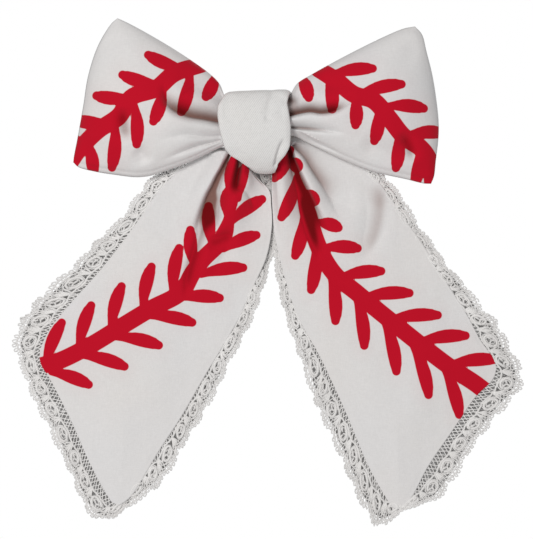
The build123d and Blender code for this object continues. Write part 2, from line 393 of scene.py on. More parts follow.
def blend(tree: NodeTree, amount: Socket, first: Socket | Colour, second: Socket | Colour) -> Socket:
    """Mix two colours, each a socket or three numbers.

    Args:
        tree: the material's nodes.
        amount: share of the second colour.
        first: colour where the amount is 0.
        second: colour where the amount is 1.

    Returns:
        The mixed colour.
    """
    mix = node(tree, "ShaderNodeMix")
    mix.data_type = "RGBA"
    tree.links.new(amount, mix.inputs["Factor"])
    for value, socket in ((first, mix.inputs[6]), (second, mix.inputs[7])):
        if isinstance(value, Socket):
            tree.links.new(value, socket)
        else:
            socket.default_value = (*value, 1.0)
    return mix.outputs[2]


def noise(tree: NodeTree, scale: float, detail: float, squeeze: Place | None = None) -> Socket:
    """Cloudy noise that is fixed to the piece.

    Args:
        tree: the material's nodes.
        scale: how closely the clouds are packed.
        detail: how many finer layers are added.
        squeeze: packing along each axis, none where the clouds are round.

    Returns:
        The noise, from 0 to 1.
    """
    place = node(tree, "ShaderNodeTexCoord").outputs["Object"]
    if squeeze:
        drawn = node(tree, "ShaderNodeMapping", Scale=squeeze)
        feed(tree, drawn, Vector=place)
        place = drawn.outputs["Vector"]
    clouds = node(tree, "ShaderNodeTexNoise", Scale=scale, Detail=detail)
    feed(tree, clouds, Vector=place)
    return clouds.outputs["Fac"]


def remap(tree: NodeTree, value: Socket, to: Point, source: Point = (0.0, 1.0)) -> Socket:
    """Map a value from one range on to another.

    Args:
        tree: the material's nodes.
        value: the value.
        to: what the two ends of the range become.
        source: the two ends of the value's range.

    Returns:
        The mapped value, kept between the two ends.
    """
    made = node(tree, "ShaderNodeMapRange")
    settle(made, From_Min=source[0], From_Max=source[1], To_Min=to[0], To_Max=to[1])
    feed(tree, made, Value=value)
    return made.outputs["Result"]


def mesh_value(tree: NodeTree, name: str) -> Socket:
    """Number that the mesh holds at each vertex.

    Args:
        tree: the material's nodes.
        name: what the mesh calls it.

    Returns:
        The number.
    """
    made = node(tree, "ShaderNodeAttribute")
    made.attribute_name = name
    return made.outputs["Fac"]


def raised(tree: NodeTree, height: Socket, strength: float, distance: float) -> Socket:
    """Surface direction of fine relief.

    Args:
        tree: the material's nodes.
        height: the relief's height, from 0 to 1.
        strength: how strongly it shows.
        distance: the relief's full height in metres.

    Returns:
        The direction.
    """
    made = node(tree, "ShaderNodeBump", Strength=strength, Distance=distance)
    feed(tree, made, Height=height)
    return made.outputs["Normal"]


def tinted(colour: Colour, *shares: float) -> Colour:
    """A colour with each of its three parts multiplied by a share."""
    return tuple(part * share for part, share in zip(colour, shares))


@dataclass(frozen=True)
class ClothFinish:
    """Matt woven cloth with an optional red print held in the mesh's print attribute, and painted shade in
    its deep creases.

    Attributes:
        name: material name.
        white: colour of the undyed cloth.
        red: colour of the print.
        printed: read the print attribute.
        twill: pitch of a diagonal twill line in metres, nothing for plain cloth.
        bump: strength of the weave.
        print_edge: softness of the print's edge in millimetres.
        blush: share of red that strays into the cloth beside the print.
        blush_reach: how far that stray red goes, in millimetres.
        shade_tint: painted shade colour that multiplies the colour at the bottom of deep creases.
    """

    name: str
    white: Colour = (0.80, 0.79, 0.787)
    red: Colour = (0.56, 0.0030, 0.0195)
    printed: bool = False
    twill: float = 0.0
    bump: float = 0.35
    print_edge: float = 0.11
    blush: float = 0.075
    blush_reach: float = 6.0
    # Colour of the painted shade in deep creases and where the tails leave the knot.
    shade_tint: Colour = (0.27, 0.12, 0.09)

    def make(self) -> bpy.types.Material:
        """Build the material.

        Returns:
            The material.
        """
        made, tree, shader = blank_material(
            self.name,
            Roughness=0.85,
            Sheen_Weight=0.06,
            Sheen_Roughness=0.5,
            Specular_IOR_Level=0.12,
        )
        grain = self.grain(tree)
        colour = self.cloth_colour(tree, grain)
        if self.printed:
            colour = self.add_print(tree, colour)
        # Paint shade into deep creases and where the tails leave the knot.
        colour = self.add_crease_shade(tree, colour)
        feed(tree, shader, Base_Color=colour, Normal=raised(tree, grain, self.bump, 0.0001))
        return made

    def grain(self, tree: NodeTree) -> Socket:
        """Slubby threads running both ways, and the twill's ribs.

        Args:
            tree: the material's nodes.

        Returns:
            Height of the threads.
        """
        height = None
        for squeeze in ((500.0, 900.0, 2400.0), (2400.0, 900.0, 500.0)):
            height = join(tree, "ADD", height, noise(tree, 1.0, 2.0, squeeze))
        if not self.twill:
            return height
        place = node(tree, "ShaderNodeTexCoord")
        turned = node(tree, "ShaderNodeMapping", Rotation=(0.0, math.radians(-34.0), 0.0))
        ribs = node(tree, "ShaderNodeTexWave", Scale=0.314 / self.twill, Distortion=1.2, Detail=1.0)
        feed(tree, turned, Vector=place.outputs["Object"])
        feed(tree, ribs, Vector=turned.outputs["Vector"])
        return join(tree, "ADD", height, ribs.outputs["Fac"])

    def cloth_colour(self, tree: NodeTree, grain: Socket) -> Socket:
        """Undyed colour with faint warm and cool patches and darker gaps between threads.

        Args:
            tree: the material's nodes.
            grain: height of the threads.

        Returns:
            The colour.
        """
        warm, cool = tinted(self.white, 1.012, 0.988, 0.968), tinted(self.white, 0.975, 0.99, 1.015)
        patches = blend(tree, noise(tree, 22.0, 3.0), warm, cool)
        highest, shades = (1.8, (0.84, 1.05)) if self.twill else (1.3, (0.955, 1.015))
        shade = node(tree, "ShaderNodeVectorMath")
        shade.operation = "SCALE"
        tree.links.new(patches, shade.inputs[0])
        feed(tree, shade, Scale=remap(tree, grain, shades, (0.7, highest)))
        return shade.outputs["Vector"]

    def add_print(self, tree: NodeTree, base: Socket) -> Socket:
        """Lay the red print over the cloth where the attribute is inside its outline.

        Args:
            tree: the material's nodes.
            base: colour of the bare cloth.

        Returns:
            The printed cloth's colour.
        """
        drawn = mesh_value(tree, "print")
        stray = remap(tree, drawn, (self.blush, 0.0), (-self.print_edge, self.blush_reach))
        stray = join(tree, "MULTIPLY", stray, noise(tree, 70.0, 2.0))
        solid = remap(tree, drawn, (1.0, 0.0), (-self.print_edge, self.print_edge))
        return blend(tree, solid, blend(tree, stray, base, self.red), self.red)

    def add_crease_shade(self, tree: NodeTree, base: Socket) -> Socket:
        """Painted warm shade at the bottom of deep creases, from the mesh's crease attribute.

        Args:
            tree: the material's nodes.
            base: colour of the cloth.

        Returns:
            The colour with its creases.
        """
        shade_tint = node(tree, "ShaderNodeMix", Factor=1.0)
        shade_tint.data_type = "RGBA"
        shade_tint.blend_type = "MULTIPLY"
        shade_tint.inputs[7].default_value = (*self.shade_tint, 1.0)
        tree.links.new(base, shade_tint.inputs[6])
        return blend(tree, mesh_value(tree, "crease"), base, shade_tint.outputs[2])


@dataclass(frozen=True)
class ThreadFinish:
    """Satin cotton thread, for lace and stitches.

    Attributes:
        name: material name.
        colour: colour of the thread.
        roughness: middle roughness.
        ground: painted shade colour, for the fine dark tulle that stands for the shade seen through the
            lace's holes and for lace in the shade under the knot, picked out by a mesh's ground attribute.
    """

    name: str
    colour: Colour = (0.86, 0.85, 0.845)
    roughness: float = 0.42
    ground: Colour | None = None

    def make(self) -> bpy.types.Material:
        """Build the material.

        Returns:
            The material.
        """
        made, tree, shader = blank_material(self.name, Sheen_Weight=0.2, Specular_IOR_Level=0.5)
        dull, bright = tinted(self.colour, 0.88, 0.87, 0.86), tinted(self.colour, 1.08, 1.08, 1.08)
        colour = blend(tree, noise(tree, 60.0, 2.0), dull, bright)
        # Painted shade: the ground attribute mixes in a dark colour for the tulle and for the lace in the
        # shade under the knot.
        if self.ground:
            colour = blend(tree, mesh_value(tree, "ground"), colour, self.ground)
        twist = noise(tree, 2200.0, 2.0)
        rough = remap(tree, twist, (self.roughness - 0.1, self.roughness + 0.15))
        feed(tree, shader, Base_Color=colour, Roughness=rough, Normal=raised(tree, twist, 0.3, 0.00008))
        return made


@dataclass(frozen=True)
class SteelFinish:
    """Nickel-plated stamped steel with fine lengthwise brushing.

    Attributes:
        name: material name.
        colour: middle colour of the plating.
    """

    name: str
    colour: Colour = (0.62, 0.60, 0.57)

    def make(self) -> bpy.types.Material:
        """Build the material.

        Returns:
            The material.
        """
        made, tree, shader = blank_material(self.name, Metallic=1.0)
        dull, bright = tinted(self.colour, 0.88, 0.87, 0.85), tinted(self.colour, 1.06, 1.06, 1.07)
        colour = blend(tree, noise(tree, 140.0, 3.0), dull, bright)
        brushing = noise(tree, 1.0, 4.0, (60.0, 900.0, 2600.0))
        rough = remap(tree, brushing, (0.2, 0.4))
        feed(tree, shader, Base_Color=colour, Roughness=rough, Normal=raised(tree, brushing, 0.15, 0.00003))
        return made


# ---------------------------------------------------------------- print


@dataclass(frozen=True)
class StitchPrint:
    """Stem with a row of teardrop stitches on each side.

    Attributes:
        stem: points along the middle of the stem.
        leaves: base and tip of each teardrop.
        half_width: half the stem's width.
        swell: a teardrop's half widths from base to tip.
        bow: how far a teardrop's middle bows to one side, as a share of its length.
        start: share of the stem's width shown at its start, where folds hide the rest.
        taper: share of the length by which the stem shows its full width.
    """

    stem: Sequence[Point]
    leaves: Sequence[tuple[Point, Point]]
    half_width: float = 3.45
    swell: tuple[float, ...] = (1.45, 1.7, 2.15, 2.55, 2.75, 2.7, 2.4, 1.75)
    bow: float = 0.045
    start: float = 1.0
    taper: float = 0.3

    def outline(self, x: Array, z: Array) -> Array:
        """Signed distance to the print's edge at each place, negative inside.

        Args:
            x: first coordinates of the places.
            z: second coordinates of the places.

        Returns:
            The distance in millimetres.
        """
        gap, _, share = distance_to_path(x, z, smooth_path(self.stem, 60))
        edge = gap - self.half_width * (self.start + (1 - self.start) * ease(share, 0.0, self.taper))
        for base, tip in self.leaves:
            edge = np.minimum(edge, self.leaf(x, z, np.array(base), np.array(tip)))
        return edge

    def leaf(self, x: Array, z: Array, base: Array, tip: Array) -> Array:
        """Signed distance to one teardrop.

        Args:
            x: first coordinates of the places.
            z: second coordinates of the places.
            base: the end on the stem.
            tip: the free end.

        Returns:
            The distance in millimetres, negative inside.
        """
        run = tip - base
        length = float(np.hypot(*run))
        run = run * (1 - self.swell[-1] / length)
        normal = np.array([-run[1], run[0]])
        t = np.linspace(0, 1, len(self.swell))
        centres = base + t[:, None] * run + (self.bow * 4 * t * (1 - t))[:, None] * normal
        best = np.full(x.shape, np.inf)
        for i in range(len(t) - 1):
            a, b = centres[i], centres[i + 1]
            step = b - a
            s = np.clip(((x - a[0]) * step[0] + (z - a[1]) * step[1]) / (step @ step), 0, 1)
            radius = self.swell[i] + s * (self.swell[i + 1] - self.swell[i])
            gap = np.hypot(x - a[0] - s * step[0], z - a[1] - s * step[1]) - radius
            best = np.minimum(best, gap)
        return best


# ---------------------------------------------------------------- folds


@dataclass(frozen=True)
class Fold:
    """Fold line pressed into or raised out of a cloth panel.

    Attributes:
        path: points of the line.
        depth: how far the cloth sinks on the line, negative to rise.
        left: how far the sunk cloth reaches to the left of the line.
        right: the same to the right.
        lift: height of the ridge that stands beside the line on its left, negative for its right.
        lift_width: how far that ridge reaches.
        ends: share of the length over which each end fades.
        sharp: power of the fall from the line, small for a crease and two for a soft hollow.
        spread: how many times wider the fold is at its end than at its start.
    """

    path: Sequence[Point]
    depth: float
    left: float
    right: float
    lift: float = 0.0
    lift_width: float = 5.0
    ends: tuple[float, float] = (0.1, 0.35)
    sharp: float = 1.4
    spread: float = 1.0

    def height(self, x: Array, z: Array) -> Array:
        """How far each place moves away from the viewer.

        Args:
            x: first coordinates of the places.
            z: second coordinates of the places.

        Returns:
            The movement in millimetres.
        """
        gap, side, share = distance_to_path(x, z, smooth_path(self.path, 40))
        fade = ease(share, -1e-6, self.ends[0] + 1e-6) * (1 - ease(share, 1 - self.ends[1], 1.0))
        reach = np.where(side > 0, self.left, self.right) * (1 + (self.spread - 1) * share)
        sunk = self.depth * np.exp(-((gap / reach) ** self.sharp))
        raised = 0.0
        if self.lift:
            on_side = side == np.sign(self.lift)
            bump = (gap / self.lift_width) * np.exp(1 - gap / self.lift_width)
            raised = np.where(on_side, abs(self.lift) * bump, 0.0)
        return fade * (sunk - raised)


def fold_height(folds: Sequence[Fold], x: Array, z: Array) -> Array:
    """Sum of the folds at each place."""
    return sum((fold.height(x, z) for fold in folds), np.zeros(x.shape))


# A fold that sinks at least this far, in millimetres, is a deep crease and gets painted shade.
DEEP_CREASE = 2.4
# Most of the painted crease shade, and the depths in millimetres at which it starts and is full.
MOST_CREASE_SHADE = 0.94
CREASE_SHADE_STARTS = 0.7
CREASE_SHADE_FULL = 5.5


def painted_crease_shade(folds: Sequence[Fold], x: Array, z: Array, extra: Array | float = 0.0) -> Array:
    """How strongly each place shows the painted shade of deep creases, from the sinking folds alone.

    Args:
        folds: the panel's folds.
        x: first coordinates of the places.
        z: second coordinates of the places.
        extra: depth added to the folds' own, in millimetres.

    Returns:
        Share of the tint at each place.
    """
    sinking = [fold for fold in folds if fold.depth >= DEEP_CREASE]
    depth = np.maximum(fold_height(sinking, x, z), 0.0) + extra
    return MOST_CREASE_SHADE * ease(depth, CREASE_SHADE_STARTS, CREASE_SHADE_FULL)


def ripple(x: Array, z: Array, phase: float) -> Array:
    """Faint unevenness of pressed cloth, under half a millimetre.

    Args:
        x: first coordinates of the places.
        z: second coordinates of the places.
        phase: sets panels apart from one another.

    Returns:
        The unevenness in millimetres.
    """
    wide = np.sin(0.21 * x + 0.13 * z + phase) * np.cos(0.17 * z - 0.11 * x + 2 * phase)
    small = np.sin(0.55 * x - 0.38 * z + 3 * phase) * np.sin(0.47 * z + 0.29 * x)
    return 0.16 * wide + 0.05 * small


# ---------------------------------------------------------------- loops


@dataclass
class PuffedLoops:
    """Two loops made as one flat bag, pinched at the waist.

    Attributes:
        top: top edge from the left corner through the waist to the right corner.
        bottom: bottom edge from the left corner to the right corner.
        left_edge: sewn outer edge of the left loop, bottom to top.
        right_edge: sewn outer edge of the right loop, bottom to top.
        drawing: the printed drawing of both loops.
        columns: places across the bag, bottom to top.
        rows: places along the bag.
        cloth: thickness of the cloth.
        seam_inset: how far the stitched dent lies above the lower edge.
        seam_dent: depth of that dent.
        end_round: how far from the ends the puff reaches its full height.
        edge_ease: how far from the edges the cloth is free to rise.
        front_rise: greatest height of the front puff.
        back_rise: greatest height of the back puff.
        seam_y: Y of the plane in which the panels meet.
        surface: places on the front panel, once it is made.
        folds: the folds of each panel.
    """

    drawing: BothLoopsPrint
    top: Sequence[Point] = (
        (-56.6, 44.7), (-52.0, 42.6), (-40.9, 36.5), (-29.1, 29.2), (-19.0, 21.9), (-15.6, 18.2),
        (-13.4, 13.6), (-8.0, 11.6), (0.0, 11.2), (7.0, 11.6), (11.9, 13.8), (15.3, 18.6), (21.0, 22.2),
        (27.4, 25.8), (37.0, 30.9), (49.8, 37.2), (58.0, 40.6), (62.4, 41.4),
    )
    bottom: Sequence[Point] = (
        (-74.3, -12.9), (-72.3, -14.8), (-65.8, -16.6), (-57.2, -18.0), (-49.0, -18.9), (-43.7, -18.4),
        (-40.4, -17.4), (-29.1, -13.4), (-14.5, -6.7), (-8.0, -4.6), (0.0, -4.0), (7.0, -3.2),
        (13.1, -2.3), (21.0, -6.1), (33.8, -12.2), (45.3, -16.6), (59.3, -19.8), (66.0, -21.4), (68.8, -21.5),
    )
    left_edge: Sequence[Point] = (
        (-74.3, -12.9), (-74.0, -10.5), (-72.6, -3.3), (-70.3, 9.6), (-68.4, 21.4), (-64.4, 33.7),
        (-59.0, 42.6), (-56.6, 44.7),
    )
    right_edge: Sequence[Point] = (
        (68.8, -21.5), (70.0, -18.5), (70.7, -12.5), (71.7, -4.2), (71.9, 2.2), (71.4, 8.6),
        (69.5, 21.3), (67.0, 31.5), (65.2, 38.2), (62.4, 41.4),
    )
    columns: int = 124
    rows: int = 320
    cloth: float = 0.4
    seam_inset: float = 1.7
    seam_dent: float = 0.5
    end_round: float = 24.0
    edge_ease: float = 2.5
    front_rise: float = 11.0
    back_rise: float = 9.2
    seam_y: float = 0.0
    surface: Array | None = None
    folds: dict[Face, tuple[Fold, ...]] = field(default_factory=dict)

    def __post_init__(self) -> None:
        """Take the seam plane from the frame."""
        self.seam_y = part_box("loops_front_panel")[1][1] / MM + 0.1

    def flat_grid(self) -> Array:
        """Grid of the bag's outline in X and Z."""
        count = self.rows
        return coons(
            smooth_path(self.left_edge, self.columns),
            smooth_path(self.right_edge, self.columns),
            smooth_path(self.bottom, count),
            smooth_path(self.top, count),
        )

    def swell(self, u: Array, x: Array, rise: float) -> Array:
        """Height of the puff above the seam plane.

        Args:
            u: share across the bag, bottom to top.
            x: place along the bow.
            rise: greatest height.

        Returns:
            Height at each place, nothing at the sewn edges.
        """
        across = np.clip(4 * u * (1 - u), 0, 1) ** 0.62
        waist = 0.52 + 0.48 * ease(np.abs(x) / 72.0, 0.15, 0.5)
        return rise * across * waist

    def panel(self, face: Face) -> bpy.types.Object:
        """Front or back panel as one sheet with its print.

        Args:
            face: which panel.

        Returns:
            The panel.
        """
        flat = self.flat_grid()
        x, z = flat[..., 0], flat[..., 1]
        u = np.broadcast_to(np.linspace(0, 1, self.columns), x.shape)
        v = np.broadcast_to(np.linspace(0, 1, self.rows)[:, None], x.shape)
        rise = self.front_rise if face is Face.FRONT else self.back_rise
        width = np.linalg.norm(flat[:, -1] - flat[:, 0], axis=1)[:, None]
        from_side = np.minimum(u, 1 - u) * width
        from_end = np.minimum(v, 1 - v) * path_length(flat[:, self.columns // 2])
        edge = np.clip(np.minimum(from_side, from_end) / self.edge_ease, 0, 1)
        round_end = (1 - (1 - np.clip(from_end / self.end_round, 0, 1)) ** 2.2) ** 0.7
        height = self.swell(u, x, rise) * round_end + 0.25 * edge
        height = height - self.seam_dent * np.exp(-(((u * width - self.seam_inset) / 0.45) ** 2))
        sunk = fold_height(self.folds.get(face, ()), x, z)
        height = height - (sunk + ripple(x, z, 1.0 + face.value)) * ease(edge, 0.0, 1.0)
        height = np.maximum(height, 0.05 * edge)
        y = self.seam_y + face.value * (height + 0.15)
        points = np.stack([x, y, z], axis=-1)
        if face is Face.FRONT:
            self.surface = points.reshape(-1, 3)
        inside = (0.0, self.seam_y - FAR_AWAY * face.value, 10.0)
        piece = grid_mesh(f"loops_{face.name.lower()}_cloth", points, inside)
        set_attribute(piece, "print", self.drawing.outline(x, z))
        # Painted shade at the bottom of deep creases.
        set_attribute(piece, "crease", painted_crease_shade(self.folds.get(face, ()), x, z))
        thicken(piece, self.cloth, -1.0)
        return piece

    def on_front(self, x: float, z: float) -> tuple[float, float, float]:
        """Place on the front panel nearest to an X and Z."""
        gap = np.hypot(self.surface[:, 0] - x, self.surface[:, 2] - z)
        return (x, float(self.surface[gap.argmin(), 1]), z)

    def seam(self) -> list[Array]:
        """Seam thread just inside the bag's outline.

        Returns:
            The one path of the thread.
        """
        flat = self.flat_grid()
        inset = flat[2:-2, 3:-3]
        round_it = np.concatenate([inset[:, 0], inset[-1], inset[::-1, -1], inset[0, ::-1]])
        path = even_path(round_it, 400)
        return [np.stack([path[:, 0], np.full(400, self.seam_y), path[:, 1]], axis=1)]

    def build(self, finish: bpy.types.Material) -> None:
        """Make and dress both of the bag's panels.

        Args:
            finish: the printed cloth.
        """
        for face in Face:
            piece = self.panel(face)
            dress(piece, finish, "printed_cloth", f"loops_{face.name.lower()}_panel")
            log.info("%s built, %d vertices", piece.name, len(piece.data.vertices))


# ---------------------------------------------------------------- tails


@dataclass
class Tail:
    """One double tail: front and back cloth sewn round a slanted end.

    Attributes:
        side: left or right, as the names of its nodes say.
        outer: outer side from the knot to the hem corner.
        inner: inner side from the knot to the tip.
        hem: slanted end from the corner to the tip.
        root: gathered start inside the knot, from the outer to the inner side.
        drawing: the printed drawing.
        folds: the folds of each panel.
        flat: the tail's width and length laid flat, in metres.
        columns: places across the tail.
        rows: places along the tail.
        cloth: thickness of the cloth.
        gap: height of the rolled edge above the middle layer.
        puff: how much higher the middle of the tail stands.
        edge_roll: how far from the edges the cloth rolls over.
        crown_reach: how far from the edges the puff reaches its full height.
        fold_margin: how far from the edges the folds have faded.
        front_clear: least distance of the front cloth from the middle layer.
        back_clear: least distance of the back cloth from the middle layer.
        phase: sets the unevenness of one tail apart from the other's.
        shade: painted shade where the tail comes out from under the knot, as a depth.
    """

    side: str
    outer: Sequence[Point]
    inner: Sequence[Point]
    hem: Sequence[Point]
    root: Sequence[Point]
    drawing: StitchPrint
    folds: dict[Face, tuple[Fold, ...]]
    flat: tuple[float, float]
    columns: int = 120
    rows: int = 270
    cloth: float = 0.4
    gap: float = 0.5
    puff: float = 1.6
    edge_roll: float = 2.2
    crown_reach: float = 22.0
    fold_margin: float = 3.0
    front_clear: float = 0.45
    back_clear: float = 0.1
    phase: float = 0.0
    shade: float = 0.9

    def flat_grid(self) -> Array:
        """Grid of the tail's outline in X and Z."""
        return coons(
            smooth_path(self.root, self.columns),
            smooth_path(self.hem, self.columns),
            smooth_path(self.outer, self.rows),
            smooth_path(self.inner, self.rows),
        )

    def panel(self, face: Face) -> bpy.types.Object:
        """Front or back cloth of the tail.

        Args:
            face: which panel.

        Returns:
            The panel.
        """
        flat = self.flat_grid()
        x, z = flat[..., 0], flat[..., 1]
        u = np.broadcast_to(np.linspace(0, 1, self.columns), x.shape)
        v = np.broadcast_to(np.linspace(0, 1, self.rows)[:, None], x.shape)
        width = np.linalg.norm(flat[:, -1] - flat[:, 0], axis=1)[:, None]
        from_side = np.minimum(u, 1 - u) * width
        from_hem = (1 - v) * path_length(flat[:, self.columns // 2])
        from_edge = np.minimum(from_side, from_hem)
        roll = np.sqrt(np.clip(from_edge / self.edge_roll, 0, 1))
        crown = np.clip(np.minimum(from_side / self.crown_reach, from_hem / self.crown_reach), 0, 1)
        height = self.gap * roll + self.puff * ease(crown, 0.0, 1.0) + 0.05
        sunk = fold_height(self.folds.get(face, ()), x, z)
        away = (sunk + ripple(x, z, self.phase + face.value)) * np.clip(from_edge / self.fold_margin, 0, 1)
        y = hang_y(z) + face.value * (height - (away if face is Face.BACK else 0.0))
        if face is Face.FRONT:
            y = np.minimum(y + away, hang_y(z) - self.front_clear)
            y = np.maximum(y, self.front_limit(x, z))
        else:
            y = np.maximum(y, hang_y(z) + self.back_clear)
        points = np.stack([x, y, z], axis=-1)
        inside = (0.0, -10.0 - FAR_AWAY * face.value, -75.0)
        piece = grid_mesh(f"tail_{self.side}_{face.name.lower()}_cloth", points, inside)
        set_attribute(piece, "print", self.drawing.outline(x, z))
        # Painted shade in deep creases and where the tail comes out from under the knot.
        shade_amount = painted_crease_shade(self.folds.get(face, ()), x, z, self.root_shade(x, z))
        set_attribute(piece, "crease", shade_amount)
        thicken(piece, self.cloth, -1.0)
        return piece

    def front_limit(self, x: Array, z: Array) -> Array:
        """How far forward the cloth may come, so that it passes behind the loops' lower edge.

        Args:
            x: first coordinates of the places.
            z: second coordinates of the places.

        Returns:
            The foremost Y.
        """
        lower = np.interp(x, *np.array(PuffedLoops.bottom).T)
        below = lower - z
        return -14.6 - 0.85 * np.clip(below, 0.0, 20.0)

    def root_shade(self, x: Array, z: Array) -> Array:
        """Painted shade where the tail comes out from under the knot, as if the cloth were that much deeper.
        """
        return self.shade * ease(z + 0.25 * np.abs(x - 1.0), -21.0, -12.0)

    def seam(self) -> list[Array]:
        """Seam thread just inside the tail's outline.

        Returns:
            The one path of the thread.
        """
        flat = self.flat_grid()[8:-3, 3:-3]
        path = even_path(np.concatenate([flat[:, 0], flat[-1], flat[::-1, -1]]), 400)
        return [np.stack([path[:, 0], hang_y(path[:, 1]), path[:, 1]], axis=1)]

    def build(self, finish: bpy.types.Material) -> list[bpy.types.Object]:
        """Make and dress both panels.

        Args:
            finish: the printed cloth.

        Returns:
            The front and the back panel.
        """
        made = []
        for face in Face:
            piece = self.panel(face)
            dress(piece, finish, "printed_cloth", f"tail_{self.side}_{face.name.lower()}_panel")
            made.append(piece)
            log.info("%s built, %d vertices", piece.name, len(piece.data.vertices))
        return made


def hang_y(z: Array) -> Array:
    """Y of the middle layer of the hanging tails at each height."""
    return np.polyval(np.polyfit((2.0, -78.0, -160.0), (-10.6, -8.6, -14.0), 2), z)


# ---------------------------------------------------------------- lace

# Points to which the lace's two rails are drawn.
RAIL_POINTS = 600


@dataclass(frozen=True)
class LaceThread:
    """One thread of the lace's repeat.

    Attributes:
        path: places in shares of the pitch and of the width.
        radius: thread radius in millimetres.
        ground: 1 for the fine net, which takes the painted shade colour, 0 for the worked threads.
        stand: how far forward the thread stands, in millimetres.
    """

    path: Array
    radius: float
    ground: float = 0.0
    stand: float = 0.0


@dataclass(frozen=True)
class HandWork:
    """Slow unevenness along a strip of lace, with values one repeat apart.

    Attributes:
        count: how many repeats the strip has.
        stretch: shift of the worked edge along the strip, in repeats.
        swell: growth of the width, as a share.
        pleat: how far the worked edge leans back, in millimetres.
    """

    count: int
    stretch: Array
    swell: Array
    pleat: Array

    def at(self, a: Array, values: Array) -> Array:
        """One of the three kinds of unevenness at places along the strip, in repeats."""
        return np.interp(a, np.arange(-1, self.count + 2), values)


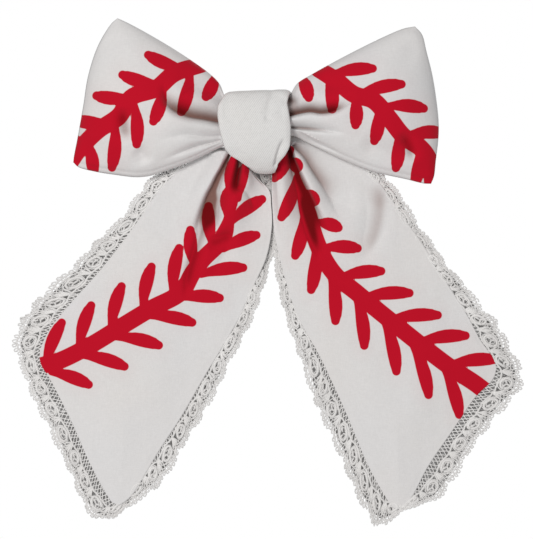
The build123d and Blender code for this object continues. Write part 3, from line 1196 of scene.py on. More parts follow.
@dataclass
class LaceTrim:
    """Scalloped openwork lace that runs down one side of a tail, round its end and up the other.

    Attributes:
        side: left or right.
        heading: the sewn edge, just inside the cloth, from the knot round to the knot.
        scallops: the middle line of the scalloped edge, in the same sense.
        seed: seed of the hand-made unevenness.
        pitch: length of one repeat along the scalloped edge.
        net: where the white net stops, as a share of the width.
        width: width of the strip.
        tulle_radius: thread radius of the fine dark tulle that paints the shade seen through the holes.
        net_radius: thread radius of the white net.
    """

    side: str
    heading: Sequence[Point]
    scallops: Sequence[Point]
    seed: int
    pitch: float = 10.7
    net: float = 0.47
    width: float = 11.5
    tulle_radius: float = 0.12
    net_radius: float = 0.27

    def scallop(self, a: Array) -> Array:
        """Share of the width that the worked edge reaches at each share of the pitch."""
        return 0.81 + 0.15 * np.abs(np.sin(math.pi * a)) ** 0.75

    def ground_net(self) -> list[LaceThread]:
        """Fine dark tulle that paints the shade seen through the holes, with a white diamond net over it.

        Returns:
            Its threads.
        """
        threads = []
        low = 0.02
        tulle = (24, 0.84, self.tulle_radius, 1.0)
        white = (6, self.net, self.net_radius, 0.0)
        for count, high, radius, ground in (tulle, white):
            lean = (high - low) * self.width / self.pitch * 0.8
            b = np.linspace(low, high, 5)
            for i in range(count):
                for turn in (-1, 1):
                    a = i / count + turn * lean * (b - low) / (high - low)
                    threads.append(LaceThread(np.stack([a, b], axis=1), radius, ground))
        return threads

    def oval(self, grow: float, radius: float, stand: float) -> LaceThread:
        """Oval ring in the middle of a scallop.

        Args:
            grow: size, as a share of the satin ring's.
            radius: thread radius.
            stand: how far forward it stands.

        Returns:
            The ring.
        """
        turn = np.linspace(0, 2 * math.pi, 19)
        path = np.stack([0.5 + 0.24 * grow * np.cos(turn), 0.63 + 0.145 * grow * np.sin(turn)], axis=1)
        return LaceThread(path, radius, 0.0, stand)

    def motif(self) -> list[LaceThread]:
        """Satin ring with its cross bars, and the fan between two rings.

        Returns:
            Their threads.
        """
        threads = [self.oval(1.0, 0.6, 0.2), self.oval(0.66, 0.28, 0.0), self.oval(1.28, 0.34, 0.0)]
        for angle in (80, 205, 330):
            way = np.array([math.cos(math.radians(angle)) * 0.21, math.sin(math.radians(angle)) * 0.12])
            bar = np.array([0.5, 0.645]) + np.linspace(0, 1, 3)[:, None] * way
            threads.append(LaceThread(bar, 0.42, 0.0, 0.1))
        t = np.linspace(0, 1, 4)
        for step in range(7):
            lean = (step - 3) / 3
            fan = np.stack([0.19 * lean * t, self.net - 0.03 + (0.33 - 0.07 * lean**2) * t], axis=1)
            threads.append(LaceThread(fan, 0.38, 0.0, 0.05))
        a = np.linspace(0, 1, 13)
        wave = np.stack([a, self.net - 0.015 + 0.03 * np.cos(2 * math.pi * a)], axis=1)
        threads.append(LaceThread(wave, 0.46, 0.0, 0.1))
        return threads

    def edging(self) -> list[LaceThread]:
        """Three cords along the scallop, the rows of small holes between them and the picots.

        Returns:
            Their threads.
        """
        threads = []
        a = np.linspace(0, 1, 15)
        for drop, radius in ((0.0, 0.36), (0.085, 0.27), (0.17, 0.24)):
            threads.append(LaceThread(np.stack([a, self.scallop(a) - drop], axis=1), radius, 0.0, 0.05))
        for at in (np.arange(8) + 0.5) / 8:
            rung = self.scallop(at) - np.linspace(0, 0.17, 3)
            bent = at + 0.02 * np.array([0, 1, 0])
            threads.append(LaceThread(np.stack([bent, rung], axis=1), 0.24, 0.0, 0.15))
        turn = np.linspace(0, 2 * math.pi, 8)
        for at in (np.arange(6) + 0.5) / 6:
            rim = self.scallop(at) + 0.045
            ring = np.stack([at + 0.058 * np.cos(turn), rim + 0.05 * np.sin(turn)], axis=1)
            threads.append(LaceThread(ring, 0.26, 0.0, 0.1))
        return threads

    def behind(self, x: Array, z: Array, b: Array) -> Array:
        """How far the lace between the tails passes behind them.

        Args:
            x: first coordinates of the places.
            z: second coordinates of the places.
            b: shares of the width at the places.

        Returns:
            The distance in millimetres.
        """
        high_up = 2.4 * ease(z, -64.0, -46.0) * ease(b, 0.05, 0.4)
        return high_up * (1 - ease(np.abs(x), 12.0, 22.0))

    def lay(self, thread: LaceThread, a: Array, b: Array, rails: Sequence[Array], work: HandWork) -> Array:
        """Lay one thread on the strip.

        Args:
            thread: the thread.
            a: its places along the strip, in repeats.
            b: its places across the strip, in shares of the width.
            rails: the heading and the middle of the scalloped edge.
            work: the strip's unevenness.

        Returns:
            The thread's points in millimetres.
        """
        b = b * (1 + ease(b, 0.2, 1.0) * work.at(a, work.swell))
        lift = ease(b, 0.25, 1.0) * (work.at(a, work.pleat) + 0.5 * np.sin(2.7 * a + self.seed))
        a = np.clip((a + ease(b, 0.1, 1.0) * work.at(a, work.stretch)) / work.count, 0, 1)
        share = np.linspace(0, 1, RAIL_POINTS)
        near, far = (np.stack([np.interp(a, share, rail[:, i]) for i in (0, 1)], axis=1) for rail in rails)
        x, z = (near + b[:, None] * (far - near)).T
        y = hang_y(z) + lift + self.behind(x, z, b) - thread.stand * ease(b, 0.25, 0.6)
        return np.stack([x, y, z], axis=1)

    def painted_shade_share(self, thread: LaceThread, path: Array) -> float:
        """How much of the painted shade colour a thread shows, from the dark tulle and more of it in the
        shade under the knot.
        """
        near_knot = ease(path[:, 2].mean(), -27.0, -18.0) * float(abs(path[:, 0].mean()) < 9.0)
        return max(0.92 * thread.ground, 0.4 * near_knot)

    def build(self, finish: bpy.types.Material) -> bpy.types.Object:
        """Lay every repeat along the tail and dress the lace.

        Args:
            finish: the lace's thread.

        Returns:
            The lace.
        """
        rng = np.random.default_rng(self.seed)
        rails = [smooth_path(edge, RAIL_POINTS) for edge in (self.heading, self.scallops)]
        count = round(path_length(rails[1]) / self.pitch)
        pattern = self.ground_net() + self.motif() + self.edging()
        work = HandWork(
            count=count,
            stretch=rng.uniform(-0.22, 0.22, count + 3),
            swell=rng.uniform(-0.055, 0.05, count + 3),
            pleat=rng.uniform(-1.0, 1.0, count + 3),
        )
        paths, radii, shade_shares = [], [], []
        for k in range(count):
            jitter = rng.normal(0, 0.014, (len(pattern), 2))
            for thread, shift in zip(pattern, jitter):
                noise_size = 0.0045 if thread.ground else 0.008
                stray = rng.normal(0, noise_size, thread.path.shape)
                a = k + thread.path[:, 0] + (0 if thread.ground else shift[0]) + stray[:, 0]
                b = thread.path[:, 1] + (0 if thread.ground else 0.5 * shift[1]) + stray[:, 1]
                path = self.lay(thread, a, b, rails, work)
                paths.append(path)
                radii.append(thread.radius)
                shade_shares.append(self.painted_shade_share(thread, path))
        piece = tubes(f"tail_{self.side}_lace_threads", paths, radii)
        per_thread = [(len(path) + 2) * 4 for path in paths]
        # Painted shade: the dark tulle, and the lace in the shade under the knot.
        set_attribute(piece, "ground", np.repeat(shade_shares, per_thread))
        dress(piece, finish, "lace", f"tail_{self.side}_lace")
        log.info("%s built, %d repeats", piece.name, count)
        return piece


# ---------------------------------------------------------------- knot


@dataclass
class KnotBand:
    """Folded strip wrapped once round the waist.

    Attributes:
        profile: ring in Y and Z that the strip follows.
        left: X of the strip's left edge at each height.
        right: X of the strip's right edge at each height.
        cloth: thickness of the folded strip.
        tuck: how far the folded edges turn in.
        edge_roll: how far from the edges the strip turns in.
        crown: how far the front stands out along its middle.
        slope: rise of the top from the left to the right, to each side of the middle.
        middle: Y and Z of the middle of the knot.
        folds: the folds on its front.
        columns: places across the strip.
        rows: places round the ring.
    """

    profile: Sequence[Point] = (
        (-4.6, 7.2), (-7.5, 12.6), (-12.5, 15.1), (-17.5, 15.5), (-22.3, 14.6), (-25.2, 11.0), (-26.4, 5.0),
        (-26.6, -1.0), (-26.0, -7.0), (-24.2, -12.6), (-20.6, -16.4), (-15.5, -17.3), (-9.6, -15.0),
        (-5.2, -9.5), (-3.9, -4.0), (-3.9, 4.0), (-4.6, 7.2),
    )
    left: Sequence[Point] = (
        (-17.4, -1.6), (-15.4, -4.8), (-13.0, -8.4), (-11.2, -11.3), (-7.8, -13.8), (0.0, -15.8),
        (6.0, -16.6), (9.8, -16.4), (12.4, -15.2), (15.2, -13.9),
    )
    right: Sequence[Point] = (
        (-17.4, 6.4), (-15.4, 7.3), (-13.6, 8.4), (-10.9, 10.5), (-7.6, 12.2), (-4.6, 12.6), (1.0, 12.7),
        (6.6, 12.0), (10.6, 11.2), (13.4, 11.9), (16.2, 13.0),
    )
    folds: Sequence[Fold] = (
        Fold([(6.4, 16.0), (4.6, 11.0), (3.4, 6.4), (2.8, 3.6)], 0.95, 2.6, 1.6, ends=(0.2, 0.4), sharp=1.8),
        Fold([(2.0, 4.6), (4.0, 4.0), (5.4, 4.6)], 0.75, 1.1, 1.3, ends=(0.3, 0.3), sharp=1.8),
        Fold([(10.4, 13.6), (9.2, 8.0), (10.0, 1.0)], 0.7, 1.5, 2.6, ends=(0.2, 0.5), sharp=1.8),
        Fold([(-11.0, 15.0), (-12.8, 9.0), (-13.0, 1.0)], 0.55, 2.4, 1.8, ends=(0.3, 0.5), sharp=2.0),
        Fold([(10.4, -3.0), (8.7, -6.4), (7.2, -10.6), (6.2, -15.4)], 2.0, 1.9, 0.5, ends=(0.35, 0.05)),
        Fold([(-13.0, -8.6), (-8.6, -11.0), (-4.2, -13.8), (0.0, -16.0)], 0.6, 2.4, 2.4,
             ends=(0.3, 0.3), sharp=2.0),
        Fold([(-9.0, -2.0), (-2.0, -7.0), (2.0, -12.0)], -0.5, 4.0, 4.0, ends=(0.4, 0.4), sharp=2.0),
    )
    cloth: float = 0.9
    tuck: float = 1.1
    edge_roll: float = 2.0
    crown: float = 0.35
    slope: float = 0.5
    middle: Point = (-15.0, 0.0)
    columns: int = 70
    rows: int = 210

    def ring(self) -> Array:
        """The profile as an even path, its last point left off."""
        return smooth_path(self.profile, self.rows + 1)[:-1]

    def edge_x(self, edge: Sequence[Point], z: Array) -> Array:
        """X of one edge at each height, its corners softened round the ring.

        Args:
            edge: X of the edge at each height.
            z: heights round the ring.

        Returns:
            X at each of the heights.
        """
        heights, places = np.array(edge).T
        raw = np.interp(z, heights, places)
        return np.convolve(np.pad(raw, 2, mode="wrap"), np.ones(5) / 5, mode="valid")

    def inward(self, ring: Array) -> Array:
        """Directions from the ring towards the middle of the knot.

        Args:
            ring: the ring's points.

        Returns:
            One direction of length 1 for each point.
        """
        along = np.roll(ring, -1, axis=0) - np.roll(ring, 1, axis=0)
        way = np.stack([along[:, 1], -along[:, 0]], axis=1)
        way /= np.linalg.norm(way, axis=1, keepdims=True)
        toward = ((np.array(self.middle) - ring) * way).sum(axis=1, keepdims=True)
        return way * np.sign(toward)

    def build(self, finish: bpy.types.Material) -> None:
        """Make and dress the band.

        Args:
            finish: the band's cloth.
        """
        ring = self.ring()
        y, z = ring[:, :1], ring[:, 1:]
        low = self.edge_x(self.left, ring[:, 1])[:, None]
        high = self.edge_x(self.right, ring[:, 1])[:, None]
        u = np.linspace(0, 1, self.columns)[None]
        x = low + u * (high - low)
        inward = self.inward(ring)
        from_edge = np.minimum(u, 1 - u) * (high - low)
        turned = 1 - np.sqrt(np.clip(from_edge / self.edge_roll, 0, 1))
        tuck = self.tuck * turned * (1 - 0.6 * ease(-z, 11.0, 16.0))
        front = ease(-y, 8.0, 20.0)
        zz = np.broadcast_to(z, x.shape)
        push = tuck + fold_height(self.folds, x, zz) * front + 0.7 * ripple(x, zz, 4.0)
        push = push - self.crown * (4 * u * (1 - u)) * front
        slope = self.slope * (x / 13.0) * ease(z, 6.0, 15.0)
        points = np.stack([x, y + inward[:, :1] * push, zz + inward[:, 1:] * push + slope], axis=-1)
        piece = grid_mesh("knot_band_cloth", points.transpose(1, 0, 2), (-2.0, -15.0, 0.0), closed=True)
        # Painted shade at the bottom of deep creases.
        set_attribute(piece, "crease", painted_crease_shade(self.folds, x, zz).T)
        thicken(piece, self.cloth, -1.0)
        dress(piece, finish, "white_band", "knot_band")
        log.info("%s built", piece.name)


# ---------------------------------------------------------------- stitches and clip


@dataclass
class SewingThread:
    """Visible stitches and hidden seam runs.

    Attributes:
        finish: the thread's material.
        radius: radius of a visible stitch's thread.
        pitch: length of a stitch with the gap after it.
        filled: share of the pitch that the stitch takes up.
        wrap_radius: radius of the thread that is wound over the clip.
    """

    finish: bpy.types.Material
    radius: float = 0.16
    pitch: float = 1.6
    filled: float = 0.72
    wrap_radius: float = 0.2

    def stitches(self, places: Array, rise: float, way: Sequence[float]) -> list[Array]:
        """Arched stitches, one between each place and the next but a gap.

        Args:
            places: points along the row, on the cloth, in millimetres.
            rise: height of a stitch's middle above the cloth.
            way: direction away from the cloth.

        Returns:
            One path for each stitch.
        """
        row = even_path(places, max(2, round(path_length(places) / self.pitch) + 1))
        out = np.asarray(way, float)
        made = []
        for start, end in zip(row, row[1:]):
            t = np.linspace(0, self.filled, 6)
            arch = np.sin(t / self.filled * math.pi)[:, None] * (rise + self.radius) - self.radius
            made.append(start + t[:, None] * (end - start) + arch * out)
        return made

    def slanted(self, name: str, way: Sequence[float], lean: float) -> list[Array]:
        """Slanted stitches along the longest side of a packed thread's box.

        Args:
            name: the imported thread's node.
            way: direction away from the cloth.
            lean: how far a stitch leans along the row.

        Returns:
            One path for each stitch.
        """
        low, high = (np.array(corner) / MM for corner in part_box(name))
        middle, size = (low + high) / 2, high - low
        axis = 0 if size[0] > size[2] else 2
        other = 2 - axis
        count = max(3, round(size[axis] / self.pitch))
        made = []
        for i in range(count):
            at = middle.copy()
            at[axis] = low[axis] + (i + 0.5) * size[axis] / count
            at[1] = high[1] if way[1] > 0 else low[1]
            path = np.repeat(at[None], 6, axis=0)
            t = np.linspace(-0.5, 0.5, 6)
            path[:, axis] += lean * t
            path[:, other] += max(1.2, min(2.0, size[other])) * t
            path -= (1 - np.cos(t * math.pi))[:, None] * 0.8 * np.asarray(way, float)
            made.append(path)
        return made

    def wraps(self, name: str, turns: int = 3) -> list[Array]:
        """Turns of thread over a strip's upper edge, at both ends of a packed thread's box.

        Args:
            name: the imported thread's node.
            turns: turns at each end.

        Returns:
            One path for each turn.
        """
        low, high = (np.array(corner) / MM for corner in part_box(name))
        r = self.wrap_radius
        front, back, under, over = low[1] + r, high[1] - r, low[2] + r, high[2] - r
        across = ((front, under), (back, under), (back, over), (front, over))
        made = []
        for side, end in ((1, low), (-1, high)):
            for turn in range(turns):
                x = end[0] + side * (r + 2.1 * r * turn)
                made.append(np.array([(x + 0.1 * side * i, y, z) for i, (y, z) in enumerate(across)]))
        return made

    def sew(self, name: str, cad: str, paths: Sequence[Array], radius: float | None = None) -> None:
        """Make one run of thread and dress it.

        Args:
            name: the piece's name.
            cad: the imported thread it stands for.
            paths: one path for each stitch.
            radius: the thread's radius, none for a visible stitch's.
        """
        piece = tubes(name, paths, [radius or self.radius] * len(paths), 6)
        dress(piece, self.finish, "thread", cad)
        log.info("%s sewn, %d stitches", name, len(paths))


def dress_packed(finish: bpy.types.Material, *names: str) -> None:
    """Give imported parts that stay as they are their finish.

    Args:
        finish: their material.
        names: their nodes.
    """
    for name in names:
        slots = bpy.data.objects[name].data.materials
        slots.clear()
        slots.append(finish)
        log.info("%s dressed", name)


@dataclass
class Studio:
    """Camera, floor, sky and lamps.

    Attributes:
        distance: from the camera to the bow's front, in metres.
        frame_height: height of the view at the bow, in metres.
        centre: X and Z at the middle of the view, in metres.
        front: Y of the bow's front, in metres.
        floor_drop: how far the floor lies below the bow, in metres.
        floor_radius: radius of the floor, in metres.
        sky_light: share of the surroundings' brightness that lights the bow.
        key_power: power of the main lamp, in watts.
        back_power: power of the lamp behind, in watts.
    """

    distance: float = 1.1
    frame_height: float = 0.2156
    centre: Point = (0.0030, -0.0558)
    front: float = -0.016
    floor_drop: float = 1.2
    floor_radius: float = 2.2
    sky_light: float = 0.38
    key_power: float = 8.0
    back_power: float = 7.0

    def camera(self) -> None:
        """Long-lens camera square to the front of the bow."""
        data = bpy.data.cameras.new("camera")
        data.sensor_fit = "VERTICAL"
        data.sensor_height = 24.0
        data.lens = 24.0 * self.distance / self.frame_height
        data.clip_start = 0.05
        data.clip_end = 50.0
        eye = bpy.data.objects.new("camera", data)
        eye.location = (self.centre[0], self.front - self.distance, self.centre[1])
        eye.rotation_euler = (math.radians(90), 0, 0)
        bpy.context.scene.collection.objects.link(eye)
        bpy.context.scene.camera = eye

    def floor(self) -> None:
        """Round plain pale floor well below the bow."""
        turn = np.linspace(0, 2 * math.pi, 65)[:-1]
        rim = np.stack([np.cos(turn), np.sin(turn), np.zeros(64)], axis=1)
        rings = np.stack([rim * reach for reach in (0.02, 0.5, 1.0)]) * self.floor_radius / MM
        ground = grid_mesh("floor", rings, (0.0, 0.0, -1000.0), closed=True)
        ground.location.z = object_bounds()[0][2] - self.floor_drop
        made, _, _ = blank_material("floor_paint", Base_Color=(0.93, 0.93, 0.93, 1.0), Roughness=0.9)
        ground.data.materials.append(made)
        ground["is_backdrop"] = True

    def sky(self) -> None:
        """White surroundings that light the bow more softly than they look."""
        world = bpy.data.worlds.new("studio")
        bpy.context.scene.world = world
        world.use_nodes = True
        tree = world.node_tree
        back = tree.nodes["Background"]
        settle(back, Color=(1.0, 1.0, 1.0, 1.0))
        seen = node(tree, "ShaderNodeLightPath").outputs["Is Camera Ray"]
        feed(tree, back, Strength=remap(tree, seen, (self.sky_light, 1.0)))
        bpy.context.scene.view_settings.view_transform = "Standard"

    def lamp(self, name: str, place: Place, power: float, size: float, tint: Colour) -> None:
        """Square area lamp aimed at the middle of the bow.

        Args:
            name: the lamp's name.
            place: where it hangs, in metres.
            power: power in watts.
            size: side of the square, in metres.
            tint: colour of its light.
        """
        data = bpy.data.lights.new(name, "AREA")
        data.energy = power
        data.size = size
        data.color = tint
        made = bpy.data.objects.new(name, data)
        made.location = place
        aim = np.array([self.centre[0], 0.0, self.centre[1]]) - np.array(place)
        made.rotation_euler = Vector(aim).to_track_quat("-Z", "Y").to_euler()
        bpy.context.scene.collection.objects.link(made)

    def build(self) -> None:
        """Set the whole stage."""
        self.camera()
        self.floor()
        self.sky()
        self.lamp("key", (-0.34, -1.2, 0.14), self.key_power, 0.3, (1.0, 0.985, 0.965))
        self.lamp("back_fill", (0.5, 1.2, 0.5), self.back_power, 0.6, (1.0, 1.0, 1.0))


# ---------------------------------------------------------------- this bow's drawing
# Every place is X and Z in millimetres, in the bow's own frame.

LEFT_LOOP_PRINT = StitchPrint(
    stem=((-23.5, 25.9), (-33.6, 22.0), (-40.9, 15.8), (-50.4, 12.4), (-55.5, 5.1), (-63.9, -0.5),
          (-71.2, -7.2), (-76.0, -13.5)),
    leaves=(
        ((-30.2, 24.0), (-45.6, 30.1)), ((-40.3, 17.6), (-55.8, 21.9)), ((-50.5, 12.0), (-66.4, 13.5)),
        ((-60.0, 2.4), (-75.5, 4.4)), ((-69.0, -5.0), (-80.0, -3.0)), ((-17.3, 21.8), (-21.8, 11.3)),
        ((-27.4, 22.0), (-31.3, 5.1)), ((-38.0, 15.0), (-42.3, 1.2)), ((-49.4, 9.4), (-48.4, -7.8)),
        ((-57.2, 1.5), (-58.8, -16.8)), ((-67.8, -6.0), (-66.1, -19.0)),
    ),
)
RIGHT_LOOP_PRINT = StitchPrint(
    stem=((24.2, 23.8), (30.6, 19.4), (37.6, 13.6), (45.3, 11.1), (51.6, 4.1), (57.4, -2.9),
          (64.4, -7.4), (68.2, -12.5), (69.5, -22.0)),
    leaves=(
        ((29.6, 21.8), (46.8, 24.2)), ((40.0, 13.6), (58.2, 18.1)), ((51.0, 8.8), (67.3, 8.2)),
        ((59.6, -2.4), (75.5, -1.0)), ((16.6, 21.5), (20.4, 10.9)), ((27.6, 21.0), (29.3, 6.0)),
        ((38.0, 12.0), (38.3, -0.3)), ((47.6, 8.0), (45.6, -6.4)), ((55.3, -2.0), (54.5, -17.0)),
        ((63.8, -9.0), (62.2, -23.0)),
    ),
)
LEFT_TAIL_PRINT = StitchPrint(
    start=0.6,
    taper=0.1,
    stem=((-11.7, -33.0), (-12.5, -37.5), (-15.2, -44.1), (-22.6, -51.7),
          (-26.7, -57.2), (-31.3, -64.9), (-43.5, -71.6), (-55.8, -79.0), (-68.0, -86.4), (-80.3, -92.5),
          (-87.6, -94.5)),
    leaves=(
        ((-18.6, -46.0), (-20.5, -28.6)), ((-26.0, -54.4), (-27.8, -38.2)), ((-34.6, -65.3), (-31.9, -45.5)),
        ((-46.6, -70.8), (-42.9, -53.0)), ((-59.4, -79.2), (-54.9, -60.9)), ((-72.3, -86.9), (-67.1, -68.6)),
        ((-85.8, -94.0), (-78.8, -75.6)), ((-11.0, -36.6), (2.6, -26.5)), ((-14.2, -47.5), (0.5, -41.3)),
        ((-23.2, -57.8), (-4.7, -54.8)), ((-31.4, -67.0), (-14.1, -67.3)), ((-44.3, -74.3), (-25.2, -77.4)),
        ((-57.2, -82.9), (-38.6, -86.6)), ((-71.0, -90.2), (-52.4, -95.2)), ((-83.5, -97.0), (-66.8, -102.6)),
        ((-11.3, -26.0), (-10.0, -10.2)), ((-8.4, -27.4), (-5.2, -13.0)), ((-12.8, -33.6), (-12.4, -22.6)),
        ((-10.9, -33.6), (-10.3, -22.4)),
    ),
)
RIGHT_TAIL_PRINT = StitchPrint(
    start=0.2,
    taper=0.17,
    stem=((14.6, -13.0), (15.5, -18.4), (17.5, -25.6), (19.6, -32.8), (21.6, -40.0), (23.9, -46.6),
          (27.3, -53.4), (31.8, -59.2), (38.5, -64.5), (47.7, -72.2), (57.9, -80.4), (68.1, -88.5),
          (77.6, -95.6), (87.3, -101.9), (98.0, -110.5)),
    leaves=(
        ((13.4, -12.6), (16.7, -16.2)), ((19.0, -25.0), (23.8, -29.8)), ((24.4, -36.8), (33.6, -39.5)),
        ((26.3, -47.1), (41.4, -47.3)), ((33.1, -58.8), (50.8, -56.2)), ((42.1, -67.1), (62.2, -65.1)),
        ((52.8, -76.0), (73.6, -74.0)),
        ((64.6, -84.9), (84.8, -82.2)), ((77.1, -94.0), (97.0, -91.8)), ((12.7, -7.7), (5.5, -20.6)),
        ((15.2, -18.8), (8.4, -36.4)), ((17.9, -34.8), (14.2, -51.9)), ((22.6, -47.0), (20.8, -65.7)),
        ((28.9, -58.4), (30.9, -78.2)), ((39.0, -66.6), (42.6, -88.1)), ((50.4, -76.6), (55.6, -98.4)),
        ((61.9, -86.3), (68.6, -107.8)), ((74.5, -95.6), (81.0, -115.8)),
    ),
)

# Folds that sink at least DEEP_CREASE carry painted shade at their bottom as well as their shape.
LOOP_FOLDS = (
    Fold([(-10.0, 2.0), (-20.0, 4.0), (-29.0, 5.6), (-35.4, 9.0), (-37.6, 14.0),
         (-37.8, 20.0)], 5.2, 1.4, 4.6,
         lift=1.3, lift_width=4.0, ends=(0.01, 0.4)),
    Fold([(-34.0, 7.0), (-44.0, 4.0), (-53.0, 2.0)], 1.5, 2.5, 4.5, ends=(0.4, 0.5), sharp=1.8),
    Fold([(-10.0, -2.0), (-22.0, -2.9), (-29.0, -2.4), (-42.0, -5.0)], 2.6, 1.2, 2.4, ends=(0.01, 0.7)),
    Fold([(-12.0, 10.0), (-19.0, 14.5), (-28.0, 18.0), (-38.0, 20.0)], 2.0, 3.0, 4.0,
         ends=(0.01, 0.7), sharp=1.8),
    Fold([(-54.0, 9.0), (-53.5, 1.0), (-51.0, -6.0)], 3.4, 2.6, 2.8, ends=(0.35, 0.4), sharp=1.6),
    Fold([(-49.0, -7.0), (-46.2, -10.7), (-44.6, -14.5)], 2.2, 2.6, 3.2, ends=(0.4, 0.4), sharp=1.8),
    Fold([(-15.0, -4.2), (-24.0, -6.6), (-33.0, -10.0), (-40.0, -13.0)], 2.4, 1.0, 1.1, ends=(0.01, 0.6)),
    Fold([(-60.0, 40.0), (-56.0, 28.0), (-50.0, 20.0)], 0.9, 4.0, 5.0, ends=(0.3, 0.6), sharp=2.0),
    Fold([(-72.0, -8.0), (-64.0, -8.5), (-56.0, -6.0)], 0.8, 4.0, 4.0, ends=(0.3, 0.6), sharp=2.0),
    Fold([(9.5, 14.0), (13.0, 11.6), (17.0, 11.2)], 4.0, 2.0, 3.0, ends=(0.01, 0.6)),
    Fold([(10.5, 5.2), (17.0, 6.8), (20.5, 7.2), (25.0, 6.6), (30.0, 7.4), (35.6, 10.4),
         (38.4, 14.0)], 5.4, 3.0, 0.8,
         lift=-1.4, lift_width=2.6, ends=(0.01, 0.45)),
    Fold([(10.5, 1.0), (18.5, 0.4), (24.0, -0.2), (36.0, -2.0)], 4.4, 1.3, 0.7, lift=-1.2, lift_width=2.6,
         ends=(0.01, 0.7)),
    Fold([(11.0, -1.2), (19.4, -4.4), (28.4, -8.0), (36.0, -11.4)], 2.6, 1.0, 0.8, ends=(0.01, 0.7)),
    Fold([(22.0, 21.0), (30.0, 17.0), (40.0, 17.5)], 2.0, 4.0, 4.0, ends=(0.3, 0.6), sharp=1.8),
    Fold([(63.0, 38.0), (58.0, 27.0), (50.0, 19.0)], 0.9, 4.0, 5.0, ends=(0.3, 0.6), sharp=2.0),
    Fold([(40.0, -4.0), (50.0, -9.0), (60.0, -12.0)], 1.8, 4.0, 4.0, ends=(0.3, 0.4), sharp=1.8),
    Fold([(56.0, -1.0), (60.0, -7.0), (62.0, -14.0)], 2.9, 2.4, 2.6, ends=(0.35, 0.4), sharp=1.6),
)
LOOP_BACK_FOLDS = tuple(
    Fold([(way * x, z) for x, z in path], depth, 2.4, 2.6, ends=(0.01, 0.6))
    for way in (-1, 1)
    for path, depth in (
        ([(10.0, 5.0), (26.0, 9.0), (44.0, 12.0)], 2.8),
        ([(10.0, 0.0), (24.0, -2.0), (40.0, -4.0)], 2.2),
        ([(10.0, 10.0), (24.0, 17.0), (38.0, 24.0)], 1.8),
    )
)
# On both tails, folds that sink at least DEEP_CREASE carry painted shade; the narrow deep ones beside the
# flaps are held back by the front clearance, so they show mostly as painted shadow in the gaps.
LEFT_TAIL_FOLDS = {
    Face.FRONT: (
        Fold([(-7.5, -8.0), (-7.5, -20.0), (-10.0, -30.0), (-15.0, -46.0)], -5.5, 6.0, 5.5, ends=(0.01, 0.6),
             sharp=2.2),
        Fold([(-13.6, -8.0), (-18.8, -20.0), (-23.8, -32.0), (-29.5, -46.0)], -3.8, 1.7, 9.0,
             ends=(0.01, 0.6),
             sharp=2.2),
        Fold([(-11.6, -8.6), (-14.9, -15.6), (-16.4, -18.2), (-18.4, -22.6), (-20.1, -26.4), (-21.8, -31.2),
              (-24.0, -37.0), (-26.5, -43.0)], 9.0, 0.4, 0.2, ends=(0.01, 0.45), sharp=1.9, spread=9.0),
        Fold([(-17.4, -23.0), (-18.2, -29.0), (-18.6, -35.0), (-19.5, -42.0)], 4.2, 2.4, 2.4,
             ends=(0.25, 0.5),
             sharp=1.8),
        Fold([(-7.2, -9.0), (-7.9, -14.5), (-8.7, -18.5), (-9.2, -22.0), (-9.3, -27.0)], 5.0, 0.7, 1.0,
             ends=(0.01, 0.3), sharp=1.9, spread=2.6),
        Fold([(-9.0, -23.2), (-5.6, -24.2), (-3.4, -27.6), (-1.6, -33.0)], 2.0, 2.2, 0.8, ends=(0.1, 0.5)),
        Fold([(-5.0, -16.0), (-4.2, -21.0), (-5.6, -26.0)], -1.2, 1.6, 1.6, ends=(0.3, 0.5), sharp=2.0),
        Fold([(-31.0, -20.0), (-35.6, -32.0), (-34.0, -44.0), (-31.0, -52.0)], 2.3, 4.0, 5.0, ends=(0.4, 0.5),
             sharp=2.0),
        Fold([(-18.4, -31.0), (-20.9, -36.6), (-23.3, -42.4), (-25.3, -48.2), (-27.7, -56.0), (-28.8, -62.0),
              (-29.8, -69.0)], 3.1, 2.6, 1.6, ends=(0.15, 0.3), sharp=1.8),
        Fold([(-22.0, -46.4), (-15.4, -43.8), (-8.6, -40.0)], 2.7, 2.6, 2.8, ends=(0.3, 0.4), sharp=1.9),
        Fold([(-19.0, -9.0), (-26.0, -20.0), (-31.0, -34.0)], 1.8, 2.6, 3.4, ends=(0.05, 0.6), sharp=1.8),
        Fold([(-11.4, -40.0), (-14.0, -50.0), (-22.0, -60.0)], 1.2, 3.4, 2.0, ends=(0.4, 0.5), sharp=1.8),
        Fold([(-18.0, -60.0), (-30.0, -78.0), (-40.0, -100.0)], 0.8, 8.0, 9.0, ends=(0.4, 0.5), sharp=2.0),
    ),
    Face.BACK: (
        Fold([(-8.0, -12.0), (-14.0, -26.0), (-24.0, -46.0)], 1.0, 3.0, 4.0, ends=(0.02, 0.6)),
        Fold([(-16.0, -12.0), (-28.0, -30.0), (-38.0, -50.0)], 0.8, 3.0, 4.0, ends=(0.02, 0.6)),
    ),
}
